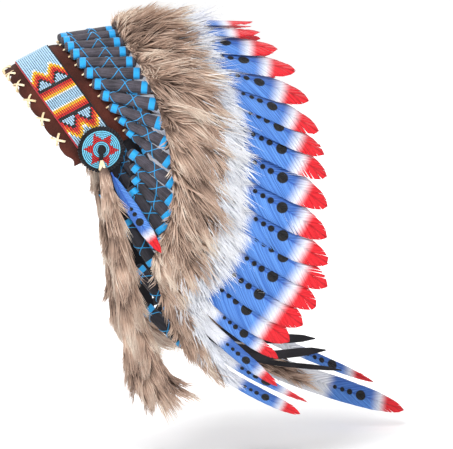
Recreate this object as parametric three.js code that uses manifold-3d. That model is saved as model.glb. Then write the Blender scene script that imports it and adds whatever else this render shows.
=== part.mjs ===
// A feathered headdress: a suede headband arched over the hairline from ear to ear, with a beaded
// brow band and a beaded rosette at each ear, and a row of long dyed feathers, each wrapped at its
// base, that follows the rear edge of the band and goes on down two suede side strips.
// Millimetres, +Z up. The wearer faces -X, the wearer's left is -Y. The origin is the middle of the
// head opening, halfway between the ears.

import * as THREE from "three";
import { mergeVertices } from "three/addons/utils/BufferGeometryUtils.js";
import Module from "manifold-3d";

const wasm = await Module();
wasm.setup();

// The arch of the headband: half an ellipse that leans back from the ears to the brow. The band's
// width lies along the opening of the head, which leans back a little less.
const ARCH_HEIGHT = 109;
const ARCH_HALF_WIDTH = 84;
const ARCH_LEAN = THREE.MathUtils.degToRad(35.5);
const OPENING_LEAN = THREE.MathUtils.degToRad(27);
const ARCH_END = THREE.MathUtils.degToRad(95.5);
const ARCH_STEPS = 36;
const UP_THE_ARCH = new THREE.Vector3(-Math.sin(ARCH_LEAN), 0, Math.cos(ARCH_LEAN));
const BACK_ACROSS = new THREE.Vector3(Math.cos(OPENING_LEAN), 0, Math.sin(OPENING_LEAN));

// The headband, across its width from the brow to the rear margin that the wraps lie on.
const SUEDE_THICK = 2.4;
const BAND_FRONT = -37;
const BAND_FRONT_BEND = -22;
const BAND_MARGIN = 24;
const BAND_REAR = 44;
const MARGIN_SLOPE = THREE.MathUtils.degToRad(25);
const MARGIN_FADE = 1.2;
const FRONT_TUCK = 1.5;
const LACE_PITCH = 26;
const LACE_PINCH = 2.6;

// The beaded pieces.
const BROW_HALF_WIDTH = 20.5;
const BROW_THICK = 1.8;
const BROW_END = THREE.MathUtils.degToRad(87);
const ROSETTE_RADIUS = 25.2;
const ROSETTE_BEADS = 21.5;
const ROSETTE_THICK = 3.6;
const ROSETTE_PLACE = new THREE.Vector3(3, -87, -5);

const SEAT = 0.35;

// The wraps and feathers. A feather is numbered down the row from the centre one, 0.
const LAST_FEATHER = 18;
const ARCH_FEATHERS = 10;
const ROW_PITCH = 16;
const ROW_ACROSS = 34.5;
const ROW_SINK = 0.72;
const WRAP_RADIUS = 5.5;
const WRAP_THICK = (2 * WRAP_RADIUS) / Math.sin(Math.PI / 3);
const WRAP_WIDEST = 13.6;
const WRAP_NARROWEST = 7;
const WRAP_GAP = 0.8;
const WRAP_LENGTH = 66;
const WRAP_MARGIN = 4;
const VANE_START = 74;
const VANE_BEND = 0.42;
const SHINGLE_ROOT = THREE.MathUtils.degToRad(13);
const SHINGLE_TIP = THREE.MathUtils.degToRad(8);

// The wrapped base, by distance from its front end. wide is a share of the room in the row.
const BASE_FORM = [
  { at: 0, wide: 0.7, thick: 8 },
  { at: 2, wide: 1, thick: WRAP_THICK },
  { at: WRAP_LENGTH - 2, wide: 1, thick: WRAP_THICK },
  { at: WRAP_LENGTH, wide: 0.8, thick: 6 },
  { at: VANE_START, wide: 1, thick: 2.6 },
];

// The vane, by share of the way from the base to the tip. wide and thick are full sizes.
const VANE_FORM = [
  { share: 0.12, wide: 27, thick: 2.3 },
  { share: 0.35, wide: 35, thick: 2.0 },
  { share: 0.62, wide: 37, thick: 1.8 },
  { share: 0.82, wide: 32, thick: 1.5 },
  { share: 0.93, wide: 20, thick: 1.3 },
  { share: 0.985, wide: 8, thick: 1.1 },
  { share: 1, wide: 1.6, thick: 0.9 },
];

// Where each wrap ends and each feather has its tip, on the wearer's left. The feathers between
// these follow smoothly. Below the arch the row also says where the wrap starts.
const LEFT_ROW = [
  { feather: 0, end: [38, 0, 117], tip: [190, 0, 121] },
  { feather: 1, end: [40, -17, 115], tip: [194, -26, 115] },
  { feather: 3, end: [49, -50, 98], tip: [226, -70, 76] },
  { feather: 5, end: [60, -79, 77], tip: [245, -110, 13] },
  { feather: 7, end: [64, -97, 45], tip: [249, -138, -33] },
  { feather: 9, end: [77, -106, 1], tip: [246, -155, -98] },
  { feather: 11, start: [34, -89.2, -8], end: [81, -108, -42], tip: [246, -163, -152] },
  { feather: 13, start: [38, -88.6, -36], end: [77, -107, -80], tip: [219, -163, -195] },
  { feather: 15, start: [32, -87.4, -62], end: [62, -103, -109], tip: [194, -152, -235] },
  { feather: 16, start: [28, -86.4, -84], end: [60, -99, -132], tip: [196, -142, -270] },
  { feather: 17, start: [43, -84, -140], end: [77, -95, -182], tip: [234, -130, -294] },
  { feather: 18, start: [53, -79, -188], end: [92, -88, -225], tip: [228, -118, -311] },
];

// The right side is like the left down to this feather. Its last two hang lower, as a loose tail
// that swings to the back.
const LAST_ALIKE = 16;
const RIGHT_TAIL_ROW = [
  { feather: 17, start: [80, -62, -186], end: [137, -68, -220], tip: [366, -84, -336] },
  { feather: 18, start: [114, -50, -250], end: [172, -55, -277], tip: [400, -62, -367] },
];
const RIGHT_TAIL_FUR = { from: 16.7, to: 18.2 };

// The lowest feathers of each row are slim: shares of the full width of a vane.
const LEFT_SLIM = { 15: 0.5, 16: 0.5, 17: 0.4, 18: 0.48 };
const RIGHT_TAIL_SLIM = { 17: 0.4, 18: 0.8 };

// The fur trim over the wrap ends, by distance along each feather and height over its middle.
const FUR_LOCKS_PER_FEATHER = 2;
const FUR_START = 0.03;
const FUR_REACH = 154;
const FUR_NOTCH = 132;
// The trim is shorter where the row turns down the side strip, and thinner at its lower end.
const FUR_SHORTER = 14;
const FUR_SHORT_FROM = 8;
const FUR_SHORT_TO = 12;
const FUR_THINNER = 0.82;
const FUR_THIN_FROM = 13;
const FUR_THIN_TO = 17;
const FUR_FORM = [
  { at: 63, height: 6.5, lock: 0 },
  { at: 66, height: 11.5, lock: 1 },
  { at: 80, height: 15, lock: 2 },
  { at: 102, height: 16, lock: 2 },
  { at: 124, height: 12.5, lock: 1.5 },
  { at: FUR_REACH, height: 7.6, lock: 0 },
  { at: 120, height: 7.6, lock: 0 },
  { at: 84, height: 7.6, lock: 0 },
];

// The long fur drop that hangs from each rosette: its middle line, with the full width and depth.
const DROP_FORM = [
  { middle: [3, -96.8, -22], wide: 6, deep: 6 },
  { middle: [6, -98.6, -33], wide: 16.8, deep: 14 },
  { middle: [12, -103, -71], wide: 19, deep: 16 },
  { middle: [22, -106, -116], wide: 24, deep: 19 },
  { middle: [29, -107, -162], wide: 27, deep: 21 },
  { middle: [38, -107, -208], wide: 32, deep: 22 },
  { middle: [50, -106, -248], wide: 40, deep: 23 },
  { middle: [63, -106, -271], wide: 34, deep: 18 },
  { middle: [71, -106, -283], wide: 12, deep: 8 },
];
const DROP_SIDES = 10;
const DROP_LOCKS = [
  { root: [28, -107, -238], tip: [20, -107, -265], radius: 8 },
  { root: [38, -108, -251], tip: [33, -107, -291], radius: 9.5 },
  { root: [48, -110, -253], tip: [50, -112, -287], radius: 9 },
  { root: [54, -102, -253], tip: [60, -98, -292], radius: 9 },
  { root: [64, -108, -259], tip: [81, -108, -303], radius: 11 },
  { root: [68, -105, -251], tip: [112, -105, -311], radius: 11 },
  { root: [50, -106, -217], tip: [69, -106, -245], radius: 8 },
  { root: [18, -106, -172], tip: [14, -107, -196], radius: 5 },
];

// What hangs from the right rosette lies further back and further out.
const RIGHT_HANG = { back: 16, out: 22, top: -24, settled: -62 };

// Flat suede strips: the places that each passes, its width, and its thickness.
const STRIPS = [
  {
    name: "side_strip_left", wide: 15, thick: 2.4, face: [0, 1, 0], right: false,
    path: [[27, -79.8, 14], [42, -79.9, -8], [44, -80.4, -42], [37, -79.6, -68],
      [33, -78.4, -91], [48, -76, -146], [59, -71, -194]],
  },
  {
    name: "side_strip_right", wide: 15, thick: 2.4, face: [0, 1, 0], right: true,
    path: [[27, -79.8, 14], [42, -79.9, -8], [44, -80.4, -42], [37, -79.6, -68],
      [35, -78, -92], [54, -69, -140], [88, -52.8, -193], [121, -41.8, -254]],
  },
  {
    name: "cross_tie_upper", wide: 9, thick: 2.2, face: [0.5, 0, 1], right: false,
    path: [[49, -73.8, -140], [54, 0, -148], [66, 64.4, -146]],
  },
  {
    name: "cross_tie_lower", wide: 9, thick: 2.2, face: [0.5, 0, 1], right: false,
    path: [[58, -68.2, -188], [76, -10, -200], [97, 46.8, -206]],
  },
  {
    name: "tie_strip_1", wide: 11, thick: 2, face: [0, 1, 0.2], right: false,
    path: [[83, -13, -196], [160, -22, -240], [266, -20, -249]], point: true,
  },
  {
    name: "tie_strip_2", wide: 9, thick: 2, face: [0, 1, 0.2], right: false,
    path: [[76, -18, -205], [140, -34, -244], [219, -36, -260]], point: true,
  },
  {
    name: "tie_strip_3", wide: 11, thick: 2, face: [0, 1, 0.2], right: false,
    path: [[80, -3, -208], [170, -8, -266], [283, -4, -268]], point: true,
  },
  {
    name: "tie_strip_4", wide: 6, thick: 2, face: [0, 1, 0.2], right: false,
    path: [[85, 6, -208], [180, 6, -272], [305, 4, -296]], point: true,
  },
];
const STRIP_STEPS = 13;
const POINT_START = 0.9;

// The small feather that hangs behind each drop.
const SIDE_FEATHER_PATH = [[10, -92.3, -22], [21, -97.5, -45], [41, -112, -79], [65, -129, -116]];
const SIDE_FEATHER_FORM = [
  { share: 0, wide: 2.6, thick: 2.6 },
  { share: 0.14, wide: 3, thick: 2.2 },
  { share: 0.24, wide: 10, thick: 1.8 },
  { share: 0.5, wide: 15, thick: 1.6 },
  { share: 0.78, wide: 14, thick: 1.4 },
  { share: 0.93, wide: 8, thick: 1.2 },
  { share: 1, wide: 1.4, thick: 0.8 },
];

const SUEDE_BROWN = new THREE.MeshStandardMaterial({ color: "#4b2a20", roughness: 0.95 });
const SUEDE_BLACK = new THREE.MeshStandardMaterial({ color: "#232125", roughness: 0.9 });
const BEADWORK = new THREE.MeshStandardMaterial({ color: "#7fb6d8", roughness: 0.3 });
const FEATHER_BLUE = new THREE.MeshStandardMaterial({ color: "#4f87e0", roughness: 0.7 });
const FUR_TAUPE = new THREE.MeshStandardMaterial({ color: "#96826e", roughness: 1 });

const vector = (list) => new THREE.Vector3(...list);

// A closed solid through sections with the same number of points, capped at both ends.
function loft(sections) {
  const count = sections[0].length;
  const points = sections.flat();
  const faces = [];
  for (let s = 0; s + 1 < sections.length; s++)
    for (let i = 0; i < count; i++) {
      const a = s * count + i;
      const b = s * count + ((i + 1) % count);
      faces.push(a, b, b + count, a, b + count, a + count);
    }
  for (const [first, turn] of [[0, false], [(sections.length - 1) * count, true]]) {
    const middle = new THREE.Vector3();
    for (let i = 0; i < count; i++) middle.addScaledVector(points[first + i], 1 / count);
    points.push(middle);
    for (let i = 0; i < count; i++) {
      const a = first + i;
      const b = first + ((i + 1) % count);
      faces.push(...(turn ? [points.length - 1, a, b] : [points.length - 1, b, a]));
    }
  }
  return facingOut(new THREE.BufferGeometry().setFromPoints(points).setIndex(faces));
}

// Turns the faces round if they point into the solid.
function facingOut(geometry) {
  const place = geometry.getAttribute("position");
  const index = geometry.index.array;
  const corner = [0, 1, 2].map(() => new THREE.Vector3());
  let volume = 0;
  for (let i = 0; i < index.length; i += 3) {
    corner.forEach((c, j) => c.fromBufferAttribute(place, index[i + j]));
    volume += corner[0].dot(corner[1].clone().cross(corner[2]));
  }
  if (volume < 0)
    for (let i = 0; i < index.length; i += 3)
      [index[i + 1], index[i + 2]] = [index[i + 2], index[i + 1]];
  geometry.computeVertexNormals();
  return geometry;
}

// A ring of points round a middle, on an ellipse with the given full sizes.
function ovalRing(middle, wideWay, thickWay, wide, thick, sides) {
  return Array.from({ length: sides }, (_, i) => {
    const angle = (2 * Math.PI * i) / sides;
    return middle.clone()
      .addScaledVector(wideWay, (wide / 2) * Math.cos(angle))
      .addScaledVector(thickWay, (thick / 2) * Math.sin(angle));
  });
}

// The same solid on the other side of the head.
function mirrored(geometry) {
  const copy = geometry.clone();
  const place = copy.getAttribute("position");
  for (let i = 0; i < place.count; i++) place.setY(i, -place.getY(i));
  return facingOut(copy);
}

// The same hanging solid, eased back and out below its top.
function hungBack(geometry) {
  const copy = geometry.clone();
  const place = copy.getAttribute("position");
  for (let i = 0; i < place.count; i++) {
    const share = 1 - THREE.MathUtils.smoothstep(place.getZ(i), RIGHT_HANG.settled, RIGHT_HANG.top);
    place.setX(i, place.getX(i) + RIGHT_HANG.back * share);
    place.setY(i, place.getY(i) - RIGHT_HANG.out * share);
  }
  return copy;
}

function asManifold(geometry) {
  const bare = new THREE.BufferGeometry().setAttribute("position", geometry.getAttribute("position").clone());
  bare.setIndex(geometry.index ? geometry.index.clone() : null);
  const merged = mergeVertices(bare, 1e-3);
  return new wasm.Manifold(new wasm.Mesh({
    numProp: 3,
    vertProperties: merged.getAttribute("position").array,
    triVerts: new Uint32Array(merged.index.array),
  }));
}

function joined(geometries) {
  const whole = geometries.map(asManifold).reduce((sum, one) => sum.add(one)).getMesh();
  const geometry = new THREE.BufferGeometry()
    .setAttribute("position", new THREE.BufferAttribute(whole.vertProperties, whole.numProp))
    .setIndex([...whole.triVerts]);
  geometry.computeVertexNormals();
  return geometry;
}

// How far the rear margin of the band bends in towards the crown.
function marginDrop(angle, across) {
  const slope = MARGIN_SLOPE * Math.max(0, Math.cos(MARGIN_FADE * Math.min(Math.abs(angle), Math.PI / 2)));
  return Math.max(0, across - BAND_MARGIN) * Math.tan(slope);
}

// A point of the arch. The angle runs from the crown, 0, to the left ear, +90 degrees.
function archPoint(angle, across, out) {
  const high = ARCH_HEIGHT * Math.cos(angle);
  const side = ARCH_HALF_WIDTH * Math.sin(angle);
  const downTheArch = UP_THE_ARCH.clone().multiplyScalar(-ARCH_HEIGHT * Math.sin(angle))
    .add(new THREE.Vector3(0, -ARCH_HALF_WIDTH * Math.cos(angle), 0));
  const away = downTheArch.cross(BACK_ACROSS).normalize();
  return BACK_ACROSS.clone().multiplyScalar(across)
    .addScaledVector(UP_THE_ARCH, high)
    .addScaledVector(away, out)
    .add(new THREE.Vector3(0, -side, 0));
}

// The angle on the arch at a distance from the crown, measured at the given height over the band.
function archAngle(distance, out) {
  const step = 0.002;
  let walked = 0;
  let angle = 0;
  while (walked < Math.abs(distance)) {
    walked += archPoint(angle, 0, out).distanceTo(archPoint(angle + step, 0, out));
    angle += step;
  }
  return Math.sign(distance) * angle;
}

function headband() {
  const rimLength = 2 * Math.PI * Math.sqrt((ARCH_HEIGHT ** 2 + ARCH_HALF_WIDTH ** 2) / 2) / 4;
  const sections = [];
  for (let i = 0; i <= ARCH_STEPS; i++) {
    const angle = ARCH_END * ((2 * i) / ARCH_STEPS - 1);
    const laces = (angle / (Math.PI / 2)) * (rimLength / LACE_PITCH);
    const pinch = LACE_PINCH * Math.cos(Math.PI * laces) ** 8;
    const front = BAND_FRONT + pinch;
    const outer = [
      archPoint(angle, front, -FRONT_TUCK),
      archPoint(angle, BAND_FRONT_BEND, 0),
      archPoint(angle, BAND_MARGIN, 0),
      archPoint(angle, BAND_REAR, -marginDrop(angle, BAND_REAR)),
    ];
    const inner = [
      archPoint(angle, BAND_REAR - 1, -marginDrop(angle, BAND_REAR) - SUEDE_THICK),
      archPoint(angle, BAND_MARGIN, -SUEDE_THICK),
      archPoint(angle, BAND_FRONT_BEND, -SUEDE_THICK),
      archPoint(angle, front + 1, -FRONT_TUCK - SUEDE_THICK),
    ];
    sections.push([...outer, ...inner]);
  }
  return loft(sections);
}

function browBand() {
  const sections = [];
  for (let i = 0; i <= ARCH_STEPS; i++) {
    const angle = BROW_END * ((2 * i) / ARCH_STEPS - 1);
    sections.push([
      archPoint(angle, -BROW_HALF_WIDTH, SEAT),
      archPoint(angle, BROW_HALF_WIDTH, SEAT),
      archPoint(angle, BROW_HALF_WIDTH - 0.6, SEAT + BROW_THICK),
      archPoint(angle, -BROW_HALF_WIDTH + 0.6, SEAT + BROW_THICK),
    ]);
  }
  return loft(sections);
}

// A round beaded disc with a raised, wrapped leather edge, facing away from the ear.
function rosette() {
  const profile = [
    [0, 0], [ROSETTE_RADIUS - 1.5, 0], [ROSETTE_RADIUS, 1.5], [ROSETTE_RADIUS - 0.6, 3.4],
    [ROSETTE_RADIUS - 3, 4.4], [ROSETTE_BEADS, 3.2], [ROSETTE_BEADS - 1, ROSETTE_THICK - 0.2],
    [ROSETTE_BEADS / 2, ROSETTE_THICK], [0, ROSETTE_THICK],
  ].map(([radius, height]) => new THREE.Vector2(radius, height));
  const bare = new THREE.LatheGeometry(profile, 24).rotateX(Math.PI);
  bare.deleteAttribute("normal");
  bare.deleteAttribute("uv");
  const disc = facingOut(mergeVertices(bare, 1e-4));
  return disc.translate(ROSETTE_PLACE.x, ROSETTE_PLACE.y, ROSETTE_PLACE.z);
}

// The knot on the rosette's face, with its tail that runs down to the top of the drop.
function rosetteThong() {
  const face = ROSETTE_PLACE.y - ROSETTE_THICK;
  const across = new THREE.Vector3(1, 0, 0);
  const out = new THREE.Vector3(0, -1, 0);
  const stations = [
    { down: -5, out: 2.4, wide: 5, thick: 3 },
    { down: -2.5, out: 3.6, wide: 9, thick: 5.6 },
    { down: 1.5, out: 3.6, wide: 9, thick: 5.6 },
    { down: 4, out: 2.2, wide: 5, thick: 2.6 },
    { down: 10, out: 3.2, wide: 4.6, thick: 2.2 },
    { down: 14.6, out: 5.4, wide: 4.6, thick: 2.2 },
  ];
  return loft(stations.map((row) => ovalRing(
    new THREE.Vector3(ROSETTE_PLACE.x - 0.06 * row.down, face - row.out, ROSETTE_PLACE.z - row.down),
    across, out, row.wide, row.thick, 8)));
}

// Smooth values between the rows of a table, by the number of the feather.
function between(rows, column, feather) {
  const known = rows.filter((row) => row[column]);
  let i = 0;
  while (i + 2 < known.length && known[i + 1].feather < feather) i++;
  const [a, b] = [known[i], known[i + 1]];
  const before = known[i - 1] ?? a;
  const after = known[i + 2] ?? b;
  const width = b.feather - a.feather;
  const t = (feather - a.feather) / width;
  const [pa, pb] = [vector(a[column]), vector(b[column])];
  const slopeA = pb.clone().sub(vector(before[column])).multiplyScalar(width / (b.feather - before.feather));
  const slopeB = vector(after[column]).sub(pa).multiplyScalar(width / (after.feather - a.feather));
  return pa.multiplyScalar(2 * t ** 3 - 3 * t ** 2 + 1)
    .addScaledVector(slopeA, t ** 3 - 2 * t ** 2 + t)
    .addScaledVector(pb, 3 * t ** 2 - 2 * t ** 3)
    .addScaledVector(slopeB, t ** 3 - t ** 2);
}

function archStart(feather) {
  const angle = archAngle(feather * ROW_PITCH, WRAP_RADIUS);
  return archPoint(angle, ROW_ACROSS, WRAP_RADIUS + SEAT - marginDrop(angle, ROW_ACROSS) * ROW_SINK);
}

function wrapStart(rows, feather) {
  if (feather <= ARCH_FEATHERS) return archStart(feather);
  const arch = rows[0].feather > ARCH_FEATHERS
    ? []
    : [ARCH_FEATHERS - 1, ARCH_FEATHERS].map((n) => ({ feather: n, start: archStart(n).toArray() }));
  return between([...arch, ...rows], "start", feather);
}

// The middle line of a feather: straight through its wrap, then one curve to the tip.
function featherLine(rows, feather) {
  const start = wrapStart(rows, feather);
  const way = between(rows, "end", feather).sub(start).normalize();
  const end = start.clone().addScaledVector(way, WRAP_LENGTH);
  const tip = between(rows, "tip", feather);
  const pull = end.clone().addScaledVector(way, VANE_BEND * end.distanceTo(tip));
  const vane = new THREE.QuadraticBezierCurve3(end, pull, tip);
  const vaneLength = vane.getLength();
  const length = WRAP_LENGTH + vaneLength;
  return {
    length,
    at(distance) {
      if (distance <= WRAP_LENGTH) return start.clone().addScaledVector(way, distance);
      return vane.getPointAt(Math.min(1, (distance - WRAP_LENGTH) / vaneLength));
    },
    way(distance) {
      if (distance <= WRAP_LENGTH) return way.clone();
      return vane.getTangentAt(Math.min(1, (distance - WRAP_LENGTH) / vaneLength));
    },
  };
}

// The middle of a feather, the way down the row and the way out from the head, at a distance.
function featherFrame(rows, feather, distance) {
  const line = featherLine(rows, feather);
  const share = distance / line.length;
  const upper = featherLine(rows, Math.max(0, feather - 0.75));
  const lower = featherLine(rows, feather + 0.25);
  const along = line.way(distance);
  const down = feather < 0.25
    ? new THREE.Vector3(0, -1, 0)
    : lower.at(share * lower.length).sub(upper.at(share * upper.length));
  down.addScaledVector(along, -down.dot(along)).normalize();
  const out = down.clone().cross(along).normalize();
  return { middle: line.at(distance), along, down, out };
}

// How wide a wrap can be between the wraps beside it, at a distance from its front end.
function wrapWidth(rows, number, at) {
  const rooms = [];
  for (const beside of [number - 1, number + 1]) {
    if (beside < 0) continue;
    const here = featherFrame(rows, number, at);
    const there = featherFrame(rows, beside, at);
    const way = here.down.clone().add(there.down).normalize();
    rooms.push(Math.abs(there.middle.sub(here.middle).dot(way)));
  }
  return THREE.MathUtils.clamp(Math.min(...rooms) - WRAP_GAP, WRAP_NARROWEST, WRAP_WIDEST);
}

// One feather with its wrapped base. Each vane is turned a little, its lower edge out, so that it
// lies over the next one down the row like a roof tile.
function feather(rows, number) {
  const { length } = featherLine(rows, number);
  const rooms = [WRAP_MARGIN, WRAP_LENGTH - WRAP_MARGIN].map((at) => wrapWidth(rows, number, at));
  const slim = (rows === RIGHT_TAIL_ROW ? RIGHT_TAIL_SLIM : LEFT_SLIM)[number] ?? 1;
  const stations = [
    ...BASE_FORM.map((row) => ({
      ...row, wide: row.wide * THREE.MathUtils.mapLinear(row.at, 0, WRAP_LENGTH, ...rooms),
    })),
    ...VANE_FORM.map((row) => ({
      ...row, wide: row.wide * slim, at: VANE_START + row.share * (length - VANE_START),
    })),
  ];
  return loft(stations.map((row) => {
    const { middle, down, out } = featherFrame(rows, number, row.at);
    const share = row.at / length;
    const roll = number === 0 ? 0 : THREE.MathUtils.lerp(SHINGLE_ROOT, SHINGLE_TIP, share);
    const wideWay = down.clone().multiplyScalar(Math.cos(roll)).addScaledVector(out, Math.sin(roll));
    const thickWay = out.clone().multiplyScalar(Math.cos(roll)).addScaledVector(down, -Math.sin(roll));
    if (number === 0 && row.at > WRAP_LENGTH) middle.addScaledVector(out, 2.6);
    return ovalRing(middle, wideWay, thickWay, row.wide, row.thick, 6);
  }));
}

// The fur over the wrap ends: a backing with a row of locks that point down the feathers.
function furTrim(rows, from, to) {
  const sections = [];
  const steps = 2 * Math.round((to - from) * FUR_LOCKS_PER_FEATHER);
  for (let i = 0; i <= steps; i++) {
    const number = from + ((to - from) * i) / steps;
    const lock = i % 2;
    const wander = Math.sin(i * 2.4) * 0.5 + Math.sin(i * 0.9) * 0.5;
    const shorter = FUR_SHORTER * THREE.MathUtils.smoothstep(number, FUR_SHORT_FROM, FUR_SHORT_TO);
    const thinner = THREE.MathUtils.smoothstep(number, FUR_THIN_FROM, FUR_THIN_TO);
    sections.push(FUR_FORM.map((row) => {
      const reach = (lock ? FUR_REACH + 5 * wander : FUR_NOTCH) - shorter;
      const at = row.at === FUR_REACH ? reach : row.at;
      const full = row.height + row.lock * (lock ? 1 : -1) + row.lock * 0.6 * wander;
      const height = row.lock ? THREE.MathUtils.lerp(full, full * FUR_THINNER, thinner) : full;
      const { middle, out } = featherFrame(rows, number, at);
      return middle.addScaledVector(out, height);
    }));
  }
  return loft(sections);
}

// A pointed lock of fur.
function lock({ root, tip, radius }) {
  const [from, to] = [vector(root), vector(tip)];
  const along = to.clone().sub(from).normalize();
  const wideWay = new THREE.Vector3(0, 1, 0).cross(along).normalize();
  const thickWay = along.clone().cross(wideWay);
  return loft([[-0.15, 0.7], [0.25, 1], [0.7, 0.55], [1, 0.08]].map(([share, size]) =>
    ovalRing(from.clone().lerp(to, share), wideWay, thickWay, 2 * radius * size, 1.5 * radius * size, 6)));
}

function furDrop() {
  const across = new THREE.Vector3(1, 0, 0.25).normalize();
  const out = new THREE.Vector3(0, -1, 0);
  const body = loft(DROP_FORM.map((row) =>
    ovalRing(vector(row.middle), across, out, row.wide, row.deep, DROP_SIDES)));
  return joined([body, ...DROP_LOCKS.map(lock)]);
}

function sideFeather() {
  const path = new THREE.CatmullRomCurve3(SIDE_FEATHER_PATH.map(vector));
  const out = new THREE.Vector3(-0.15, -1, 0.1).normalize();
  return loft(SIDE_FEATHER_FORM.map((row) => {
    const along = path.getTangentAt(row.share);
    const wideWay = out.clone().cross(along).normalize();
    const thickWay = along.clone().cross(wideWay);
    return ovalRing(path.getPointAt(row.share), wideWay, thickWay, row.wide, row.thick, 6);
  }));
}

// A flat strip of suede along its path, cut to a point at its far end where the table says so.
function strip({ path, wide, thick, face, point }) {
  const curve = new THREE.CatmullRomCurve3(path.map(vector));
  const sections = [];
  for (let i = 0; i <= STRIP_STEPS; i++) {
    const share = i / STRIP_STEPS;
    const along = curve.getTangentAt(share);
    const wideWay = vector(face).cross(along).normalize();
    const thickWay = along.clone().cross(wideWay);
    const narrow = point && share > POINT_START ? (1 - share) / (1 - POINT_START) : 1;
    const half = (wide / 2) * Math.max(narrow, 0.06);
    const middle = curve.getPointAt(share);
    sections.push([[-1, -1], [1, -1], [1, 1], [-1, 1]].map(([w, t]) =>
      middle.clone().addScaledVector(wideWay, w * half).addScaledVector(thickWay, (t * thick) / 2)));
  }
  return loft(sections);
}

const headdress = new THREE.Group();

function add(name, geometry, material) {
  const mesh = new THREE.Mesh(geometry, material);
  mesh.name = name;
  headdress.add(mesh);
}

function addPair(name, geometry, material) {
  add(name + "_left", geometry, material);
  add(name + "_right", mirrored(geometry), material);
}

add("headband", headband(), SUEDE_BROWN);
add("brow_band", browBand(), BEADWORK);
addPair("rosette", rosette(), BEADWORK);
addPair("rosette_thong", rosetteThong(), SUEDE_BLACK);
add("fur_drop_left", furDrop(), FUR_TAUPE);
add("fur_drop_right", mirrored(hungBack(furDrop())), FUR_TAUPE);
add("side_feather_left", sideFeather(), FEATHER_BLUE);
add("side_feather_right", mirrored(hungBack(sideFeather())), FEATHER_BLUE);
for (const row of STRIPS) {
  const geometry = strip(row);
  add(row.name, row.right ? mirrored(geometry) : geometry, SUEDE_BLACK);
}
add("fur_trim_left", furTrim(LEFT_ROW, FUR_START, LAST_FEATHER), FUR_TAUPE);
add("fur_trim_right", mirrored(furTrim(LEFT_ROW, FUR_START, LAST_ALIKE)), FUR_TAUPE);
add("fur_tail_right", mirrored(furTrim(RIGHT_TAIL_ROW, RIGHT_TAIL_FUR.from, RIGHT_TAIL_FUR.to)), FUR_TAUPE);
add("feather_centre", feather(LEFT_ROW, 0), FEATHER_BLUE);
for (let number = 1; number <= LAST_FEATHER; number++) {
  const tag = String(number).padStart(2, "0");
  add("feather_left_" + tag, feather(LEFT_ROW, number), FEATHER_BLUE);
  const rightRow = number > LAST_ALIKE ? RIGHT_TAIL_ROW : LEFT_ROW;
  add("feather_right_" + tag, mirrored(feather(rightRow, number)), FEATHER_BLUE);
}

export default headdress;
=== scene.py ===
"""A feathered headdress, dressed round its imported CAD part.

+Z up; the wearer faces -X and the wearer's left is -Y. Shapes are worked out in millimetres from the
same named values as part.mjs, for the wearer's left side, and become metres in finished_piece().
"""
import math

import bpy
import numpy as np
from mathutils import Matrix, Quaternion, Vector


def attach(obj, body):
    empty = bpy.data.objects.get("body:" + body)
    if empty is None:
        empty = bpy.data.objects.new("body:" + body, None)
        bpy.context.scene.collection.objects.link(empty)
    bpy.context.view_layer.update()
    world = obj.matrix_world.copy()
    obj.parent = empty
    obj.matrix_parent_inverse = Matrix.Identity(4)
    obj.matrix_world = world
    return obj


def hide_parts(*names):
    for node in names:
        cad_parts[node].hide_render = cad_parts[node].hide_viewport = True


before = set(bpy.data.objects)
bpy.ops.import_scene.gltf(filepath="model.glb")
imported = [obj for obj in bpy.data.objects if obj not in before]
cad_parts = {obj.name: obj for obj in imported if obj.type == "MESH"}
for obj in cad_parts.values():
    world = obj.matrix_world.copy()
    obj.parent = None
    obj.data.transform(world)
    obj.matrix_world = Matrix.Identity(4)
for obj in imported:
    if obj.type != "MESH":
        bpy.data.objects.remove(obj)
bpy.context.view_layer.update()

MM = 0.001
Y_WAY = np.array([0.0, 1.0, 0.0])

# The camera: the view of the photograph.
VIEW_AZIMUTH = math.radians(-7.25)
VIEW_ELEVATION = math.radians(9.6)
VIEW_DISTANCE = 2.6
VIEW_LENS = 180.4
VIEW_RIGHT = 0.1584
VIEW_UP = -0.1064
VIEW_ROLL = 0.01106
SKY_LIGHT = 0.62
FLOOR_GLOW = 0.4
FLOOR_LEVEL = -0.39

# The arch of the headband, as in part.mjs.
ARCH_HEIGHT = 109
ARCH_HALF_WIDTH = 84
ARCH_LEAN = math.radians(35.5)
OPENING_LEAN = math.radians(27)
ARCH_END = math.radians(95.5)
UP_THE_ARCH = np.array([-math.sin(ARCH_LEAN), 0, math.cos(ARCH_LEAN)])
BACK_ACROSS = np.array([math.cos(OPENING_LEAN), 0, math.sin(OPENING_LEAN)])
SUEDE_THICK = 2.4
BAND_FRONT = -37
BAND_FRONT_BEND = -22
BAND_MARGIN = 24
BAND_REAR = 44
MARGIN_SLOPE = math.radians(25)
MARGIN_FADE = 1.2
FRONT_TUCK = 1.5
LACE_PITCH = 26
LACE_PINCH = 4.2
RIM_LENGTH = 2 * math.pi * math.sqrt((ARCH_HEIGHT**2 + ARCH_HALF_WIDTH**2) / 2) / 4
SEAT = 0.35

# The beaded pieces.
BROW_HALF_WIDTH = 20.5
BROW_END = 87
BEAD_COLUMNS = 16
BEAD_ROW = 1.7
BEAD_ROWS_A_SIDE = 86
MOTIF_MIDDLE = 91 / BEAD_ROW
ROSETTE_RADIUS = 25.2
ROSETTE_BEADS = 21.5
ROSETTE_THICK = 3.6
ROSETTE_PLACE = np.array([3, -87, -5])

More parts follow.
